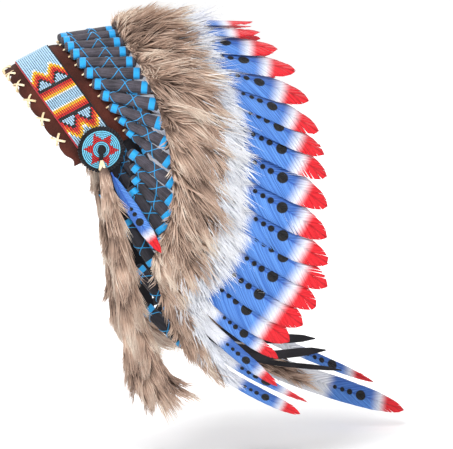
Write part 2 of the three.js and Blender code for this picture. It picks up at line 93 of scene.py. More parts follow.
# The row of wraps and feathers.
LAST_FEATHER = 18
LAST_ALIKE = 16
ARCH_FEATHERS = 10
ROW_PITCH = 16
ROW_ACROSS = 34.5
ROW_SINK = 0.72
WRAP_RADIUS = 5.5
WRAP_WIDEST = 15
WRAP_NARROWEST = 7
WRAP_GAP = 0.2
WRAP_MARGIN = 4
WRAP_LENGTH = 66
VANE_START = 74
VANE_BEND = 0.42
SHINGLE_ROOT = math.radians(13)
SHINGLE_TIP = math.radians(8)
SHAFT_SHIFT = 0.1
VANE_WIDTH = ((0, 13), (0.12, 27), (0.35, 35), (0.62, 37), (0.82, 33), (0.93, 23), (0.985, 10), (1, 2))


def row_of(*entries):
    return [dict(zip(("feather", "end", "tip", "start"), entry)) for entry in entries]


LEFT_ROW = row_of(
    (0, (38, 0, 117), (190, 0, 121)),
    (1, (40, -17, 115), (194, -26, 115)),
    (3, (49, -50, 98), (226, -70, 76)),
    (5, (60, -79, 77), (245, -110, 13)),
    (7, (64, -97, 45), (249, -138, -33)),
    (9, (77, -106, 1), (246, -155, -98)),
    (11, (81, -108, -42), (246, -163, -152), (34, -89.2, -8)),
    (13, (77, -107, -80), (219, -163, -195), (38, -88.6, -36)),
    (15, (62, -103, -109), (194, -152, -235), (32, -87.4, -62)),
    (16, (60, -99, -132), (196, -142, -270), (28, -86.4, -84)),
    (17, (77, -95, -182), (234, -130, -294), (43, -84, -140)),
    (18, (92, -88, -225), (228, -118, -311), (53, -79, -188)),
)
RIGHT_TAIL_ROW = row_of(
    (17, (137, -68, -220), (366, -84, -336), (80, -62, -186)),
    (18, (172, -55, -277), (400, -62, -367), (114, -50, -250)),
)

# The lowest feathers of each row are slim: shares of the full width of a vane, and of its dyes.
LEFT_SLIM = {15: 0.5, 16: 0.5, 17: 0.4, 18: 0.48}
RIGHT_TAIL_SLIM = {17: 0.4, 18: 0.8}
SLIM_DYES = {15: 0.8, 16: 0.78, 17: 0.9, 18: 0.75}

# The fur over the wrap ends: distance along a feather, height over it, how thickly hairs grow
# there, their length, and how far they lie along the feather and out from it.
FUR_START = 0.03
TAIL_FUR = (16.7, 18.2)
FUR_SECTION = (
    (64, 6.2, 1, 12, 0.1, 0.7),
    (67, 8, 1, 24, 0.6, 0.5),
    (78, 9.6, 1, 44, 0.95, 0.2),
    (98, 10, 0.9, 50, 1, 0.05),
    (120, 9, 0.8, 38, 1, 0),
    (136, 7.4, 0.2, 22, 1, 0),
    (120, 7.0, 0, 20, 1, 0),
    (84, 7.0, 0, 20, 1, 0),
)
# The trim is shorter where the row turns down the side strip, and thinner at its lower end.
FUR_SHORTER = 14
FUR_SHORT_FROM = 8
FUR_SHORT_TO = 12
FUR_THINNER = 0.82
FUR_THIN_FROM = 13
FUR_THIN_TO = 17
FUR_SHORT_LOW = 0.3
FUR_SAG = 0.3
# Locks on the inner face of the tail, and the part of its row that they lie on.
TAIL_INNER = (17.55, 18.22)
TAIL_INNER_SECTION = (
    (114, -4.6, 0.8, 34, 1, -0.3),
    (128, -8, 1, 44, 1, -0.2),
    (150, -8, 1, 46, 1, -0.1),
    (168, -6, 0.7, 38, 1, 0),
    (182, -4.6, 0.1, 30, 1, 0),
    (150, -3.4, 0, 20, 1, 0),
    (122, -3.4, 0, 20, 1, 0),
)
DOWN_SECTION = (
    (104, 5.6, 0.3, 46, 1, 0.1),
    (126, 5.4, 0.9, 44, 1, 0.1),
    (142, 4.4, 1, 36, 1, 0.08),
    (155, 3.2, 0.8, 22, 1, 0.04),
    (142, 2.6, 0, 20, 1, 0),
    (108, 2.6, 0, 20, 1, 0),
)

# The long fur drops.
DROP_FORM = (
    ((3, -96.8, -22), 6, 6),
    ((6, -98.6, -33), 12, 10),
    ((12, -103, -71), 15, 13),
    ((22, -106, -116), 19, 15),
    ((29, -107, -162), 21, 17),
    ((38, -107, -208), 28, 18),
    ((48, -106, -248), 38, 19),
    ((61, -106, -271), 34, 15),
    ((71, -106, -283), 8, 6),
)
RIGHT_HANG_BACK = 16
RIGHT_HANG_OUT = 22
RIGHT_HANG_TOP = -24
RIGHT_HANG_SETTLED = -62

SIDE_FEATHER_PATH = ((10, -92.3, -22), (21, -97.5, -45), (41, -112, -79), (65, -129, -116))


def unit(vectors):
    return vectors / np.linalg.norm(vectors, axis=-1, keepdims=True)


def smooth(low, high, value):
    share = np.clip((value - low) / (high - low), 0, 1)
    return share * share * (3 - 2 * share)


def arch_point(angle, across, out):
    """A point of the arch. The angle runs from the crown, 0, to the left ear, +90 degrees."""
    angle, across, out = (a[..., None] for a in np.broadcast_arrays(angle, across, out))
    down = -UP_THE_ARCH * ARCH_HEIGHT * np.sin(angle) - Y_WAY * ARCH_HALF_WIDTH * np.cos(angle)
    away = unit(np.cross(down, BACK_ACROSS))
    middle = UP_THE_ARCH * ARCH_HEIGHT * np.cos(angle) - Y_WAY * ARCH_HALF_WIDTH * np.sin(angle)
    return middle + BACK_ACROSS * across + away * out


def arch_angle(distance, out):
    """The angle on the arch at a distance from the crown, measured at the given height over it."""
    angles = np.linspace(0, math.radians(110), 2001)
    steps = np.linalg.norm(np.diff(arch_point(angles, 0, out), axis=0), axis=1)
    walked = np.concatenate([[0], np.cumsum(steps)])
    return np.sign(distance) * np.interp(np.abs(distance), walked, angles)


def margin_drop(angle, across):
    """How far the rear margin of the band bends in towards the crown."""
    slope = MARGIN_SLOPE * np.maximum(0, np.cos(MARGIN_FADE * np.minimum(np.abs(angle), math.pi / 2)))
    return np.maximum(0, across - BAND_MARGIN) * np.tan(slope)


def between(rows, column, feather):
    """Smooth values between the rows of a table, by the number of the feather."""
    known = [row for row in rows if column in row]
    i = 0
    while i + 2 < len(known) and known[i + 1]["feather"] < feather:
        i += 1
    a, b = known[i], known[i + 1]
    before = known[i - 1] if i else a
    after = known[i + 2] if i + 2 < len(known) else b
    width = b["feather"] - a["feather"]
    t = (feather - a["feather"]) / width
    place = {key: np.array(row[column], float) for key, row in
             (("a", a), ("b", b), ("before", before), ("after", after))}
    slope_a = (place["b"] - place["before"]) * width / (b["feather"] - before["feather"])
    slope_b = (place["after"] - place["a"]) * width / (after["feather"] - a["feather"])
    return (place["a"] * (2 * t**3 - 3 * t**2 + 1) + slope_a * (t**3 - 2 * t**2 + t)
            + place["b"] * (3 * t**2 - 2 * t**3) + slope_b * (t**3 - t**2))


def arch_start(feather):
    angle = arch_angle(feather * ROW_PITCH, WRAP_RADIUS)
    return arch_point(angle, ROW_ACROSS, WRAP_RADIUS + SEAT - margin_drop(angle, ROW_ACROSS) * ROW_SINK)


ARCH_STARTS = [{"feather": n, "start": arch_start(n)} for n in (ARCH_FEATHERS - 1, ARCH_FEATHERS)]


def wrap_start(rows, feather):
    if feather <= ARCH_FEATHERS:
        return arch_start(feather)
    arch = ARCH_STARTS if rows[0]["feather"] == 0 else []
    return between(arch + rows, "start", feather)


class FeatherLine:
    """The middle line of a feather: straight through its wrap, then one curve to the tip."""

    def __init__(self, rows, feather):
        self.start = wrap_start(rows, feather)
        self.way = unit(between(rows, "end", feather) - self.start)
        end = self.start + self.way * WRAP_LENGTH
        tip = between(rows, "tip", feather)
        pull = end + self.way * VANE_BEND * np.linalg.norm(tip - end)
        self.corners = (end, pull, tip)
        self.shares = np.linspace(0, 1, 65)
        steps = np.linalg.norm(np.diff(self.bend(self.shares), axis=0), axis=1)
        self.walked = np.concatenate([[0], np.cumsum(steps)])
        self.length = WRAP_LENGTH + self.walked[-1]

    def bend(self, t):
        t = np.asarray(t)[..., None]
        a, b, c = self.corners
        return (1 - t) ** 2 * a + 2 * t * (1 - t) * b + t**2 * c

    def at(self, distance):
        t = np.interp(distance - WRAP_LENGTH, self.walked, self.shares)
        wrap = self.start + self.way * np.minimum(distance, WRAP_LENGTH)[..., None]
        return np.where((distance <= WRAP_LENGTH)[..., None], wrap, self.bend(t))

    def heading(self, distance):
        t = np.interp(distance - WRAP_LENGTH, self.walked, self.shares)[..., None]
        a, b, c = self.corners
        curve = unit((1 - t) * (b - a) + t * (c - b))
        return np.where((distance <= WRAP_LENGTH)[..., None], self.way, curve)


def feather_frame(rows, feather, distance):
    """The middle of a feather, the way along it, down the row and out from the head, at distances."""
    line = FeatherLine(rows, feather)
    upper = FeatherLine(rows, max(0, feather - 0.75))
    lower = FeatherLine(rows, feather + 0.25)
    share = distance / line.length
    along = line.heading(distance)
    if feather < 0.25:
        down = np.broadcast_to(-Y_WAY, along.shape)
    else:
        down = lower.at(share * lower.length) - upper.at(share * upper.length)
    down = unit(down - along * np.sum(down * along, -1, keepdims=True))
    return line.at(distance), along, down, np.cross(down, along)


def wrap_widths(rows, number):
    """How wide a wrap can be between the wraps beside it, near its front and near its rear."""
    places = np.array([WRAP_MARGIN, WRAP_LENGTH - WRAP_MARGIN])
    here = feather_frame(rows, number, places)
    rooms = []
    for beside in (number - 1, number + 1):
        if beside >= 0:
            there = feather_frame(rows, beside, places)
            way = unit(here[2] + there[2])
            rooms.append(np.abs(np.sum((there[0] - here[0]) * way, -1)))
    return np.clip(np.min(rooms, axis=0) - WRAP_GAP, WRAP_NARROWEST, WRAP_WIDEST)


def hung_back(points):
    """Points of what hangs from the right rosette, eased back and out below its top."""
    share = (1 - smooth(RIGHT_HANG_SETTLED, RIGHT_HANG_TOP, points[:, 2]))[:, None]
    return points + share * np.array([RIGHT_HANG_BACK, -RIGHT_HANG_OUT, 0])


class Shape:
    """Points and faces of one piece, gathered in millimetres, with marks that its materials read."""

    def __init__(self):
        self.points, self.faces, self.slots, self.marks = [], [], [], []
        self.count = 0

    def tubes(self, rings, place=None, slot=0):
        """Adds closed tubes through rings[tube, ring, corner]; place marks each corner."""
        tubes, lengths, corners = rings.shape[:3]
        i = np.arange(corners)
        j = (i + 1) % corners
        rows = (np.arange(lengths - 1) * corners)[:, None]
        quads = np.stack([rows + i, rows + j, rows + j + corners, rows + i + corners], -1).reshape(-1, 4)
        last = (lengths - 1) * corners
        near_cap = np.stack([j, i, np.full(corners, lengths * corners)], -1)
        far_cap = np.stack([last + i, last + j, np.full(corners, lengths * corners + 1)], -1)
        caps = np.concatenate([near_cap, far_cap])
        points = self.with_caps(rings)
        sides = np.concatenate([quads[:, :3], quads[:, [0, 2, 3]], caps])
        corner = [points[:, sides[:, k]] for k in range(3)]
        inside_out = np.einsum("kij,kij->k", corner[0], np.cross(corner[1], corner[2])) < 0
        shift = (self.count + np.arange(tubes) * points.shape[1])[:, None, None]
        for faces in (quads, caps):
            turned = np.where(inside_out[:, None, None], faces[None, :, ::-1], faces[None])
            self.faces.append((turned + shift).reshape(-1, faces.shape[1]))
            self.slots.append(np.full(len(self.faces[-1]), slot))
        self.points.append(points.reshape(-1, 3))
        place = np.zeros(rings.shape) if place is None else place
        self.marks.append(self.with_caps(np.broadcast_to(place, rings.shape)).reshape(-1, 3))
        self.count += tubes * points.shape[1]
        return self

    @staticmethod
    def with_caps(rings):
        caps = np.stack([rings[:, 0].mean(1), rings[:, -1].mean(1)], 1)
        return np.concatenate([rings.reshape(len(rings), -1, 3), caps], 1)

    def mesh(self, name, mirrored, hang=False, grown=()):
        points = np.concatenate(self.points)
        if hang:
            points = hung_back(points)
        vectors = [np.concatenate(value) if isinstance(value, list) else value for _, value in grown]
        if mirrored:
            points = points * [1, -1, 1]
            vectors = [v * [1, -1, 1] if v.ndim == 2 else v for v in vectors]
        corners = np.concatenate([f[:, ::-1].ravel() if mirrored else f.ravel() for f in self.faces])
        sizes = np.concatenate([np.full(len(f), f.shape[1]) for f in self.faces])
        mesh = bpy.data.meshes.new(name)
        mesh.vertices.add(len(points))
        mesh.vertices.foreach_set("co", (points * MM).ravel().astype(np.float32))
        mesh.loops.add(len(corners))
        mesh.loops.foreach_set("vertex_index", corners.astype(np.int32))
        mesh.polygons.add(len(sizes))
        mesh.polygons.foreach_set("loop_start", np.concatenate([[0], np.cumsum(sizes)[:-1]]).astype(np.int32))
        mesh.polygons.foreach_set("material_index", np.concatenate(self.slots).astype(np.int32))
        mesh.update(calc_edges=True)
        mesh.polygons.foreach_set("use_smooth", np.ones(len(sizes), bool))
        place = mesh.attributes.new("place", "FLOAT_VECTOR", "POINT")
        place.data.foreach_set("vector", np.concatenate(self.marks).ravel().astype(np.float32))
        for (key, _), value in zip(grown, vectors):
            kind = "FLOAT_VECTOR" if value.ndim == 2 else "FLOAT"
            layer = mesh.attributes.new(key, kind, "POINT")
            layer.data.foreach_set("vector" if value.ndim == 2 else "value", value.ravel().astype(np.float32))
        return mesh


def finished_piece(name, mesh, materials, stands_for=()):
    piece = bpy.data.objects.new(name, mesh)
    bpy.context.scene.collection.objects.link(piece)
    if not mesh.materials:
        for finish in materials:
            mesh.materials.append(finish)
    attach(piece, "root")
    if stands_for:
        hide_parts(*stands_for)
    return piece


class Wire:
    """A socket whose arithmetic adds Math nodes to its tree."""

    def __init__(self, nodes, socket):
        self.nodes, self.socket = nodes, socket

    def maths(self, operation, *values):
        return self.nodes.add("ShaderNodeMath", {"operation": operation}, values)

    def __add__(self, other): return self.maths("ADD", self, other)
    def __radd__(self, other): return self.maths("ADD", other, self)
    def __sub__(self, other): return self.maths("SUBTRACT", self, other)
    def __rsub__(self, other): return self.maths("SUBTRACT", other, self)
    def __mul__(self, other): return self.maths("MULTIPLY", self, other)
    def __rmul__(self, other): return self.maths("MULTIPLY", other, self)
    def __truediv__(self, other): return self.maths("DIVIDE", self, other)
    def __rtruediv__(self, other): return self.maths("DIVIDE", other, self)
    def __pow__(self, other): return self.maths("POWER", self, other)


class Nodes:
    """A node tree, and the one way that nodes are added to it."""

    def __init__(self, tree):
        self.tree = tree

    def add(self, kind, settings=None, values=(), output=0):
        node = self.tree.nodes.new(kind)
        for key, value in (settings or {}).items():
            if key == "stops":
                self.set_stops(node.color_ramp, value)
            else:
                setattr(node, key, value)
        for key, value in (values.items() if isinstance(values, dict) else enumerate(values)):
            if isinstance(value, Wire):
                self.tree.links.new(value.socket, node.inputs[key])
            elif value is not None:
                node.inputs[key].default_value = value
        return Wire(self, node.outputs[output]) if node.outputs else node

    @staticmethod
    def set_stops(ramp, stops):
        while len(ramp.elements) > 1:
            ramp.elements.remove(ramp.elements[-1])
        for i, (place, colour) in enumerate(stops):
            stop = ramp.elements[0] if i == 0 else ramp.elements.new(place)
            stop.position = place
            stop.color = colour

    def mark(self, name, part=None):
        """An attribute of the piece: a number, or one part (0 to 2) of a vector."""
        node = self.tree.nodes.new("ShaderNodeAttribute")
        node.attribute_name = name
        if part is None:
            return Wire(self, node.outputs["Fac"])
        parts = self.add("ShaderNodeSeparateXYZ", None, [Wire(self, node.outputs["Vector"])])
        return Wire(self, parts.socket.node.outputs[part])

    def noise(self, scale, detail=2.0, vector=None, output=0, stretch=None):
        where = vector or self.add("ShaderNodeTexCoord", None, (), "Object")
        if stretch:
            where = self.add("ShaderNodeMapping", None, {"Vector": where, "Scale": stretch})
        return self.add("ShaderNodeTexNoise", None, {"Vector": where, "Scale": scale, "Detail": detail}, output)

    def step(self, low, high, value):
        """0 below low, 1 above high, smooth between them."""
        settings = {"interpolation_type": "SMOOTHSTEP"}
        return self.add("ShaderNodeMapRange", settings, {"Value": value, "From Min": low, "From Max": high})

    def mix(self, share, first, second):
        return self.add("ShaderNodeMix", {"data_type": "RGBA"}, {0: share, 6: first, 7: second}, 2)

    def bump(self, height, strength, distance):
        values = {"Height": height, "Strength": strength, "Distance": distance}
        return self.add("ShaderNodeBump", None, values)


def colour(red, green, blue):
    """A colour as a screen shows it, 0 to 255, in Blender's linear light."""
    def linear(value):
        value /= 255
        return value / 12.92 if value <= 0.04045 else ((value + 0.055) / 1.055) ** 2.4
    return (linear(red), linear(green), linear(blue), 1.0)


def material(name, finish):
    """A material whose finish(nodes) gives the values of its Principled shader's sockets."""
    made = bpy.data.materials.new(name)
    made.use_nodes = True
    made.node_tree.nodes.clear()
    nodes = Nodes(made.node_tree)
    shader = nodes.add("ShaderNodeBsdfPrincipled", None, finish(nodes))
    nodes.add("ShaderNodeOutputMaterial", None, {"Surface": shader})
    return made


def suede(light, dark, nap=0.6):
    def finish(nodes):
        cloudy = nodes.noise(28.0, 3.0)
        grain = nodes.noise(900.0, 2.0)
        fibres = nodes.noise(2600.0, 1.0)
        shade = nodes.step(0.3, 0.72, cloudy * 0.7 + grain * 0.3)
        height = grain * 0.7 + fibres * 0.5 + cloudy * 0.6
        return {
            "Base Color": nodes.mix(shade, colour(*dark), colour(*light)),
            "Roughness": 0.82 + grain * 0.14,
            "Sheen Weight": 0.06,
            "Specular IOR Level": 0.2,
            "Normal": nodes.bump(height, nap, 0.0006),
        }
    return finish


def wrap_suede(nodes):
    """Charcoal suede rolled round a quill, with creases along and across it; the wraps of the lower feathers are
    darkened with painted shade.
    """
    along, around = nodes.mark("place", 0), nodes.mark("place", 1)
    where = nodes.add("ShaderNodeCombineXYZ", None, [along * 0.02, around * 0.45, nodes.mark("place", 2)])
    creases = nodes.noise(3.0, 3.0, where)
    cloudy = nodes.noise(70.0, 3.0)
    grain = nodes.noise(1100.0, 2.0)
    shade = nodes.step(0.32, 0.68, creases * 0.45 + cloudy * 0.35 + grain * 0.2)
    charcoal = nodes.mix(shade, colour(22, 20, 26), colour(88, 83, 94))
    return {
        # Painted shade: the wraps of the lowest feathers turn near black.
        "Base Color": nodes.mix(nodes.mark("lower_row_shade") * 0.9, charcoal, nodes.mix(shade, colour(8, 8, 12), colour(40, 40, 50))),
        "Roughness": 0.8 + grain * 0.15,
        "Sheen Weight": 0.1,
        "Normal": nodes.bump(creases * 1.2 + grain * 0.4 + cloudy * 0.5, 0.7, 0.001),
    }


def thread(light, dark, turns):
    """Wound thread: fine rings across place.x, in millimetres, darker in the grooves between the turns as painted
    shade.
    """
    def finish(nodes):
        ring = nodes.mark("place", 0) * (2 * math.pi / turns)
        wave = ring.maths("SINE", ring) * 0.5 + 0.5
        fuzz = nodes.noise(900.0, 2.0)
        return {
            # The dark half of each ring is painted shade in the groove between turns.
            "Base Color": nodes.mix(wave * 0.6 + fuzz * 0.4, colour(*dark), colour(*light)),
            "Roughness": 0.38 + fuzz * 0.2,
            "Sheen Weight": 0.2,
            "Normal": nodes.bump(wave + fuzz * 0.3, 0.8, 0.0003),
        }
    return finish


def hide_lace(nodes):
    fibres = nodes.noise(500.0, 3.0)
    shade = nodes.noise(120.0, 2.0)
    return {
        "Base Color": nodes.mix(nodes.step(0.3, 0.7, shade), colour(214, 186, 140), colour(246, 230, 196)),
        "Roughness": 0.6 + fibres * 0.25,
        "Sheen Weight": 0.1,
        "Normal": nodes.bump(fibres, 0.5, 0.0004),
    }


# Where the dyes of a feather lie, in millimetres before its tip: red tip, white band, blue, white down.
RED_END = 31
WHITE_END = 40
BLUE_END = 101
DOTS = ((60, 6.4), (75, 3.7), (85, 3.0), (95, 2.6))


def dyed_vane(nodes):
    """The vane: place.x runs back from the tip, place.y across, and place.z is where a barb starts. Its dyes carry
    painted shade along the edges and over the upper half.
    """
    back, across, barb = (nodes.mark("place", part) for part in range(3))
    streak_at = nodes.add("ShaderNodeCombineXYZ", None, [barb * 0.55, across * 0.012, nodes.mark("tone") * 40])
    streaks = nodes.noise(1.0, 3.0, streak_at)
    fine_at = nodes.add("ShaderNodeCombineXYZ", None, [barb * 1.9, across * 0.02, nodes.mark("tone") * 70])
    fine = nodes.noise(1.0, 1.0, fine_at)
    stray = (streaks - 0.5) * 9
    side = across.maths("ABSOLUTE", across)
    edge = nodes.step(9.0, 24.0, side)
    depth = nodes.step(0.28, 0.72, streaks * 0.75 + fine * 0.25)
    blue = nodes.mix(depth, colour(36, 86, 168), colour(98, 152, 226))
    # Painted shade: the vane darkens along its edges, and most over its upper half, where the feather above lies over
    # it.
    overlap_shade = nodes.step(0.5, -3.5, across)
    blue = nodes.mix(edge * 0.25 + overlap_shade * 0.5, blue, colour(26, 66, 148))
    shaft = 1 - nodes.step(0.5, 1.1, side)
    blue = nodes.mix(shaft * 0.7, blue, colour(30, 72, 170))
    white = nodes.mix(depth, colour(198, 201, 212), colour(238, 239, 243))
    red = nodes.mix(depth, colour(186, 8, 24), colour(232, 26, 42))
    red = nodes.mix(shaft * 0.5, red, colour(150, 12, 26))
    dyed = nodes.mix(nodes.step(WHITE_END - 9, WHITE_END + 8, back + stray * 0.8), white, blue)
    dyed = nodes.mix(nodes.step(RED_END + 5, RED_END - 8, back + stray * 0.5), dyed, red)
    dyed = nodes.mix(nodes.step(BLUE_END - 7, BLUE_END + 9, back + stray * 1.6), dyed, white)
    ink = 0
    for place, radius in DOTS:
        far = (back - place) ** 2 + across ** 2
        far = far.maths("SQRT", far) + (fine - 0.5) * 1.2
        ink = nodes.step(radius + 0.5, radius - 0.5, far) + ink
    dyed = nodes.mix(ink, dyed, nodes.mix(fine, colour(2, 2, 5), colour(20, 20, 25)))
    return {
        "Base Color": dyed,
        "Roughness": 0.5 + fine * 0.2,
        "Sheen Weight": 0.04,
        "Specular IOR Level": 0.35,
        "Normal": nodes.bump(fine * 0.8 + streaks * 0.8, 0.55, 0.0008),
    }


def hair(root, middle, tip, patch=24.0):
    """Hair by its strands: along runs from root to tip, and strand is each hair's own number."""
    def finish(nodes):
        along, strand = nodes.mark("along"), nodes.mark("strand")
        locks = nodes.noise(patch, 2.0)
        # Hairs darken towards their roots: partly the fur's own colour, partly painted shade deep in the fur.
        lightness = along * 0.5 + strand * 0.5 + nodes.step(0.32, 0.68, locks) * 0.34 - 0.2
        stops = [(0.0, colour(*root)), (0.5, colour(*middle)), (1.0, colour(*tip))]
        ramp = nodes.add("ShaderNodeValToRGB", {"stops": stops}, [lightness])
        return {
            "Base Color": ramp,
            "Roughness": 0.55 + strand * 0.2,
            "Specular IOR Level": 0.3,
        }
    return finish


BEAD_COLOURS = {
    "L": (170, 206, 230), "W": (246, 246, 244), "Y": (252, 194, 26), "O": (240, 98, 14),
    "R": (206, 12, 16), "K": (4, 4, 6), "B": (112, 196, 226), "S": (196, 18, 24),
}
BEAD_KEYS = "LWYORKBS"


def glass_beads(nodes):
    stops = [(i / 8, colour(*BEAD_COLOURS[key])) for i, key in enumerate(BEAD_KEYS)]
    ramp = nodes.add("ShaderNodeValToRGB", {"stops": stops}, [nodes.mark("hue")])
    ramp.socket.node.color_ramp.interpolation = "CONSTANT"
    glint_and_gloss = nodes.noise(700.0, 1.0)
    return {
        # Painted glints: the beads are whitened a little at random spots; the same noise varies their roughness.
        "Base Color": nodes.mix(glint_and_gloss * 0.05, ramp, (1, 1, 1, 1)),
        "Roughness": 0.22 + glint_and_gloss * 0.2,
        "Specular IOR Level": 0.3,
    }


BROWN_SUEDE = material("brown_suede_nap", suede((88, 42, 32), (46, 20, 14)))
BLACK_SUEDE = material("black_suede_nap", suede((46, 44, 48), (20, 19, 22), 0.5))
WRAP_SUEDE = material("charcoal_wrap_suede", wrap_suede)
TURQUOISE_THREAD = material("turquoise_thread", thread((30, 184, 246), (0, 138, 214), 0.8))
WHITE_THREAD = material("white_loom_thread", thread((240, 238, 232), (200, 198, 196), 0.9))
# The backing under the brow beads is near black: painted shade in the gaps between the beads.
LOOM_SHADE_THREAD = material("loom_thread_painted_shade", thread((58, 50, 56), (24, 20, 24), 0.9))
CRIMSON_THREAD = material("crimson_edge_thread", thread((206, 24, 48), (140, 12, 30), 0.9))
HIDE_LACE = material("cream_hide_lace", hide_lace)
DYED_VANE = material("dyed_feather_vane", dyed_vane)
TAUPE_FUR = material("taupe_fur", hair((74, 54, 46), (202, 172, 153), (255, 244, 228)))
WHITE_DOWN = material("white_down", hair((206, 209, 220), (240, 242, 248), (253, 253, 254)))
GLASS_BEADS = material("glass_seed_beads", glass_beads)


def group_tree(name, inputs):
    """A Geometry Nodes tree with named inputs and a geometry output. Gives its nodes and its inputs by name."""
    tree = bpy.data.node_groups.new(name, "GeometryNodeTree")
    tree.interface.new_socket("Geometry", in_out="INPUT", socket_type="NodeSocketGeometry")
    for label, kind, default in inputs:
        socket = tree.interface.new_socket(label, in_out="INPUT", socket_type=kind)
        if default is not None:
            socket.default_value = default
    tree.interface.new_socket("Geometry", in_out="OUTPUT", socket_type="NodeSocketGeometry")
    nodes = Nodes(tree)
    source = tree.nodes.new("NodeGroupInput")
    given = {socket.name: Wire(nodes, socket) for socket in source.outputs if socket.name}
    return nodes, given


def grown(name, base_mesh, tree, settings):
    """The plain mesh that a Geometry Nodes tree makes from a base mesh."""
    carrier = bpy.data.objects.new(name, base_mesh)
    bpy.context.scene.collection.objects.link(carrier)
    modifier = carrier.modifiers.new(name, "NODES")
    modifier.node_group = tree
    for item in tree.interface.items_tree:
        if item.in_out == "INPUT" and item.name in settings:
            modifier[item.identifier] = settings[item.name]
    depsgraph = bpy.context.evaluated_depsgraph_get()
    mesh = bpy.data.meshes.new_from_object(carrier.evaluated_get(depsgraph), depsgraph=depsgraph)
    carrier.modifiers.clear()
    bpy.data.objects.remove(carrier)
    return mesh


def named(nodes, label, kind="FLOAT"):
    return nodes.add("GeometryNodeInputNamedAttribute", {"data_type": kind}, [label])


def stored(nodes, geometry, label, value, kind="FLOAT"):
    settings = {"data_type": kind, "domain": "POINT"}
    return nodes.add("GeometryNodeStoreNamedAttribute", settings,
                     {"Geometry": geometry, "Name": label, "Value": value})


def vector_maths(nodes, operation, *values):
    output = 1 if operation in ("DOT_PRODUCT", "LENGTH") else 0
    return nodes.add("ShaderNodeVectorMath", {"operation": operation}, values, output)


def scaled(nodes, vector, size):
    return nodes.add("ShaderNodeVectorMath", {"operation": "SCALE"}, {"Vector": vector, "Scale": size})


def strand_tree():
    """Hairs over a base that carries lay (the way they lie), reach (length) and growth (share)."""
    nodes, given = group_tree("hair_strands", [
        ("Strand", "NodeSocketObject", None),
        ("Density", "NodeSocketFloat", 100000.0),
        ("Thickness", "NodeSocketFloat", 0.0005),
        ("Rise", "NodeSocketFloat", 0.3),
        ("Stray", "NodeSocketFloat", 0.15),
        ("Lock Size", "NodeSocketFloat", 0.012),
        ("Lock Pull", "NodeSocketFloat", 0.3),
        ("Gather", "NodeSocketFloat", 0.5),
        ("Curl", "NodeSocketFloat", 0.1),
        ("Droop", "NodeSocketFloat", 0.1),
        ("Seed", "NodeSocketInt", 1),
    ])
    scatter = nodes.add("GeometryNodeDistributePointsOnFaces", {"distribute_method": "RANDOM"}, {
        "Mesh": given["Geometry"],
        "Density": given["Density"] * named(nodes, "growth"),
        "Seed": given["Seed"],
    })
    normal = Wire(nodes, scatter.socket.node.outputs["Normal"])

    def chance(low, high, seed):
        settings = {"data_type": "FLOAT_VECTOR" if isinstance(low, tuple) else "FLOAT"}
        node = nodes.tree.nodes.new("FunctionNodeRandomValue")
        node.data_type = settings["data_type"]
        picks = {"FLOAT": (2, 3, 1), "FLOAT_VECTOR": (0, 1, 0)}[node.data_type]
        node.inputs[picks[0]].default_value = low
        node.inputs[picks[1]].default_value = high
        node.inputs["Seed"].default_value = seed
        return Wire(nodes, node.outputs[picks[2]])

    lift = scaled(nodes, normal, given["Rise"] * chance(0.1, 1.0, 11))
    stray = scaled(nodes, chance((-1, -1, -1), (1, 1, 1), 12), given["Stray"])
    way = vector_maths(nodes, "ADD", named(nodes, "lay", "FLOAT_VECTOR"), vector_maths(nodes, "ADD", lift, stray))
    way = vector_maths(nodes, "NORMALIZE", way)
    turn = nodes.add("FunctionNodeAlignRotationToVector", {"axis": "X"}, {"Vector": way})
    turn = nodes.add("FunctionNodeAlignRotationToVector", {"axis": "Z", "pivot_axis": "X"},
                     {"Rotation": turn, "Vector": normal})
    place = nodes.add("GeometryNodeInputPosition")
    cells = nodes.tree.nodes.new("ShaderNodeTexVoronoi")
    nodes.tree.links.new(place.socket, cells.inputs["Vector"])
    nodes.tree.links.new((1 / given["Lock Size"]).socket, cells.inputs["Scale"])
    cell_colour = Wire(nodes, cells.outputs["Color"])
    lock_tone = nodes.add("ShaderNodeSeparateXYZ", None, [cell_colour])
    length = named(nodes, "reach") * chance(0.62, 1.0, 13) * (lock_tone * 0.4 + 0.78)
    gather = scaled(nodes, vector_maths(nodes, "SUBTRACT", Wire(nodes, cells.outputs["Position"]), place),
                    given["Gather"])
    swing = scaled(nodes, vector_maths(nodes, "SUBTRACT", cell_colour, (0.5, 0.5, 0.5)), given["Lock Pull"] * 2)
    curl = scaled(nodes, chance((-1, -1, -1), (1, 1, 1), 14), given["Curl"])
    droop = nodes.add("ShaderNodeCombineXYZ", None, [0.0, 0.0, given["Droop"] * -1])
    settle = scaled(nodes, normal, given["Rise"] * -0.35)
    pull = vector_maths(nodes, "ADD", vector_maths(nodes, "ADD", swing, curl), vector_maths(nodes, "ADD", droop, settle))
    points = stored(nodes, scatter, "strand", chance(0.0, 0.62, 15) + lock_tone * 0.38)
    pull = vector_maths(nodes, "ADD", scaled(nodes, pull, length), gather)
    points = stored(nodes, points, "pull", pull, "FLOAT_VECTOR")
    thick = given["Thickness"] * chance(0.7, 1.25, 16)
    strands = nodes.add("GeometryNodeInstanceOnPoints", None, {
        "Points": points,
        "Instance": nodes.add("GeometryNodeObjectInfo", None, {"Object": given["Strand"]}, "Geometry"),
        "Rotation": turn,
        "Scale": nodes.add("ShaderNodeCombineXYZ", None, [length, thick, thick]),
    })
    real = nodes.add("GeometryNodeRealizeInstances", None, {0: strands})
    bend = scaled(nodes, named(nodes, "pull", "FLOAT_VECTOR"), named(nodes, "along") ** 1.8)
    bent = nodes.add("GeometryNodeSetPosition", None, {"Geometry": real, "Offset": bend})
    clean = nodes.add("GeometryNodeRemoveAttribute", None, {"Geometry": bent, "Name": "pull"})
    nodes.add("NodeGroupOutput", None, [clean])
    return nodes.tree


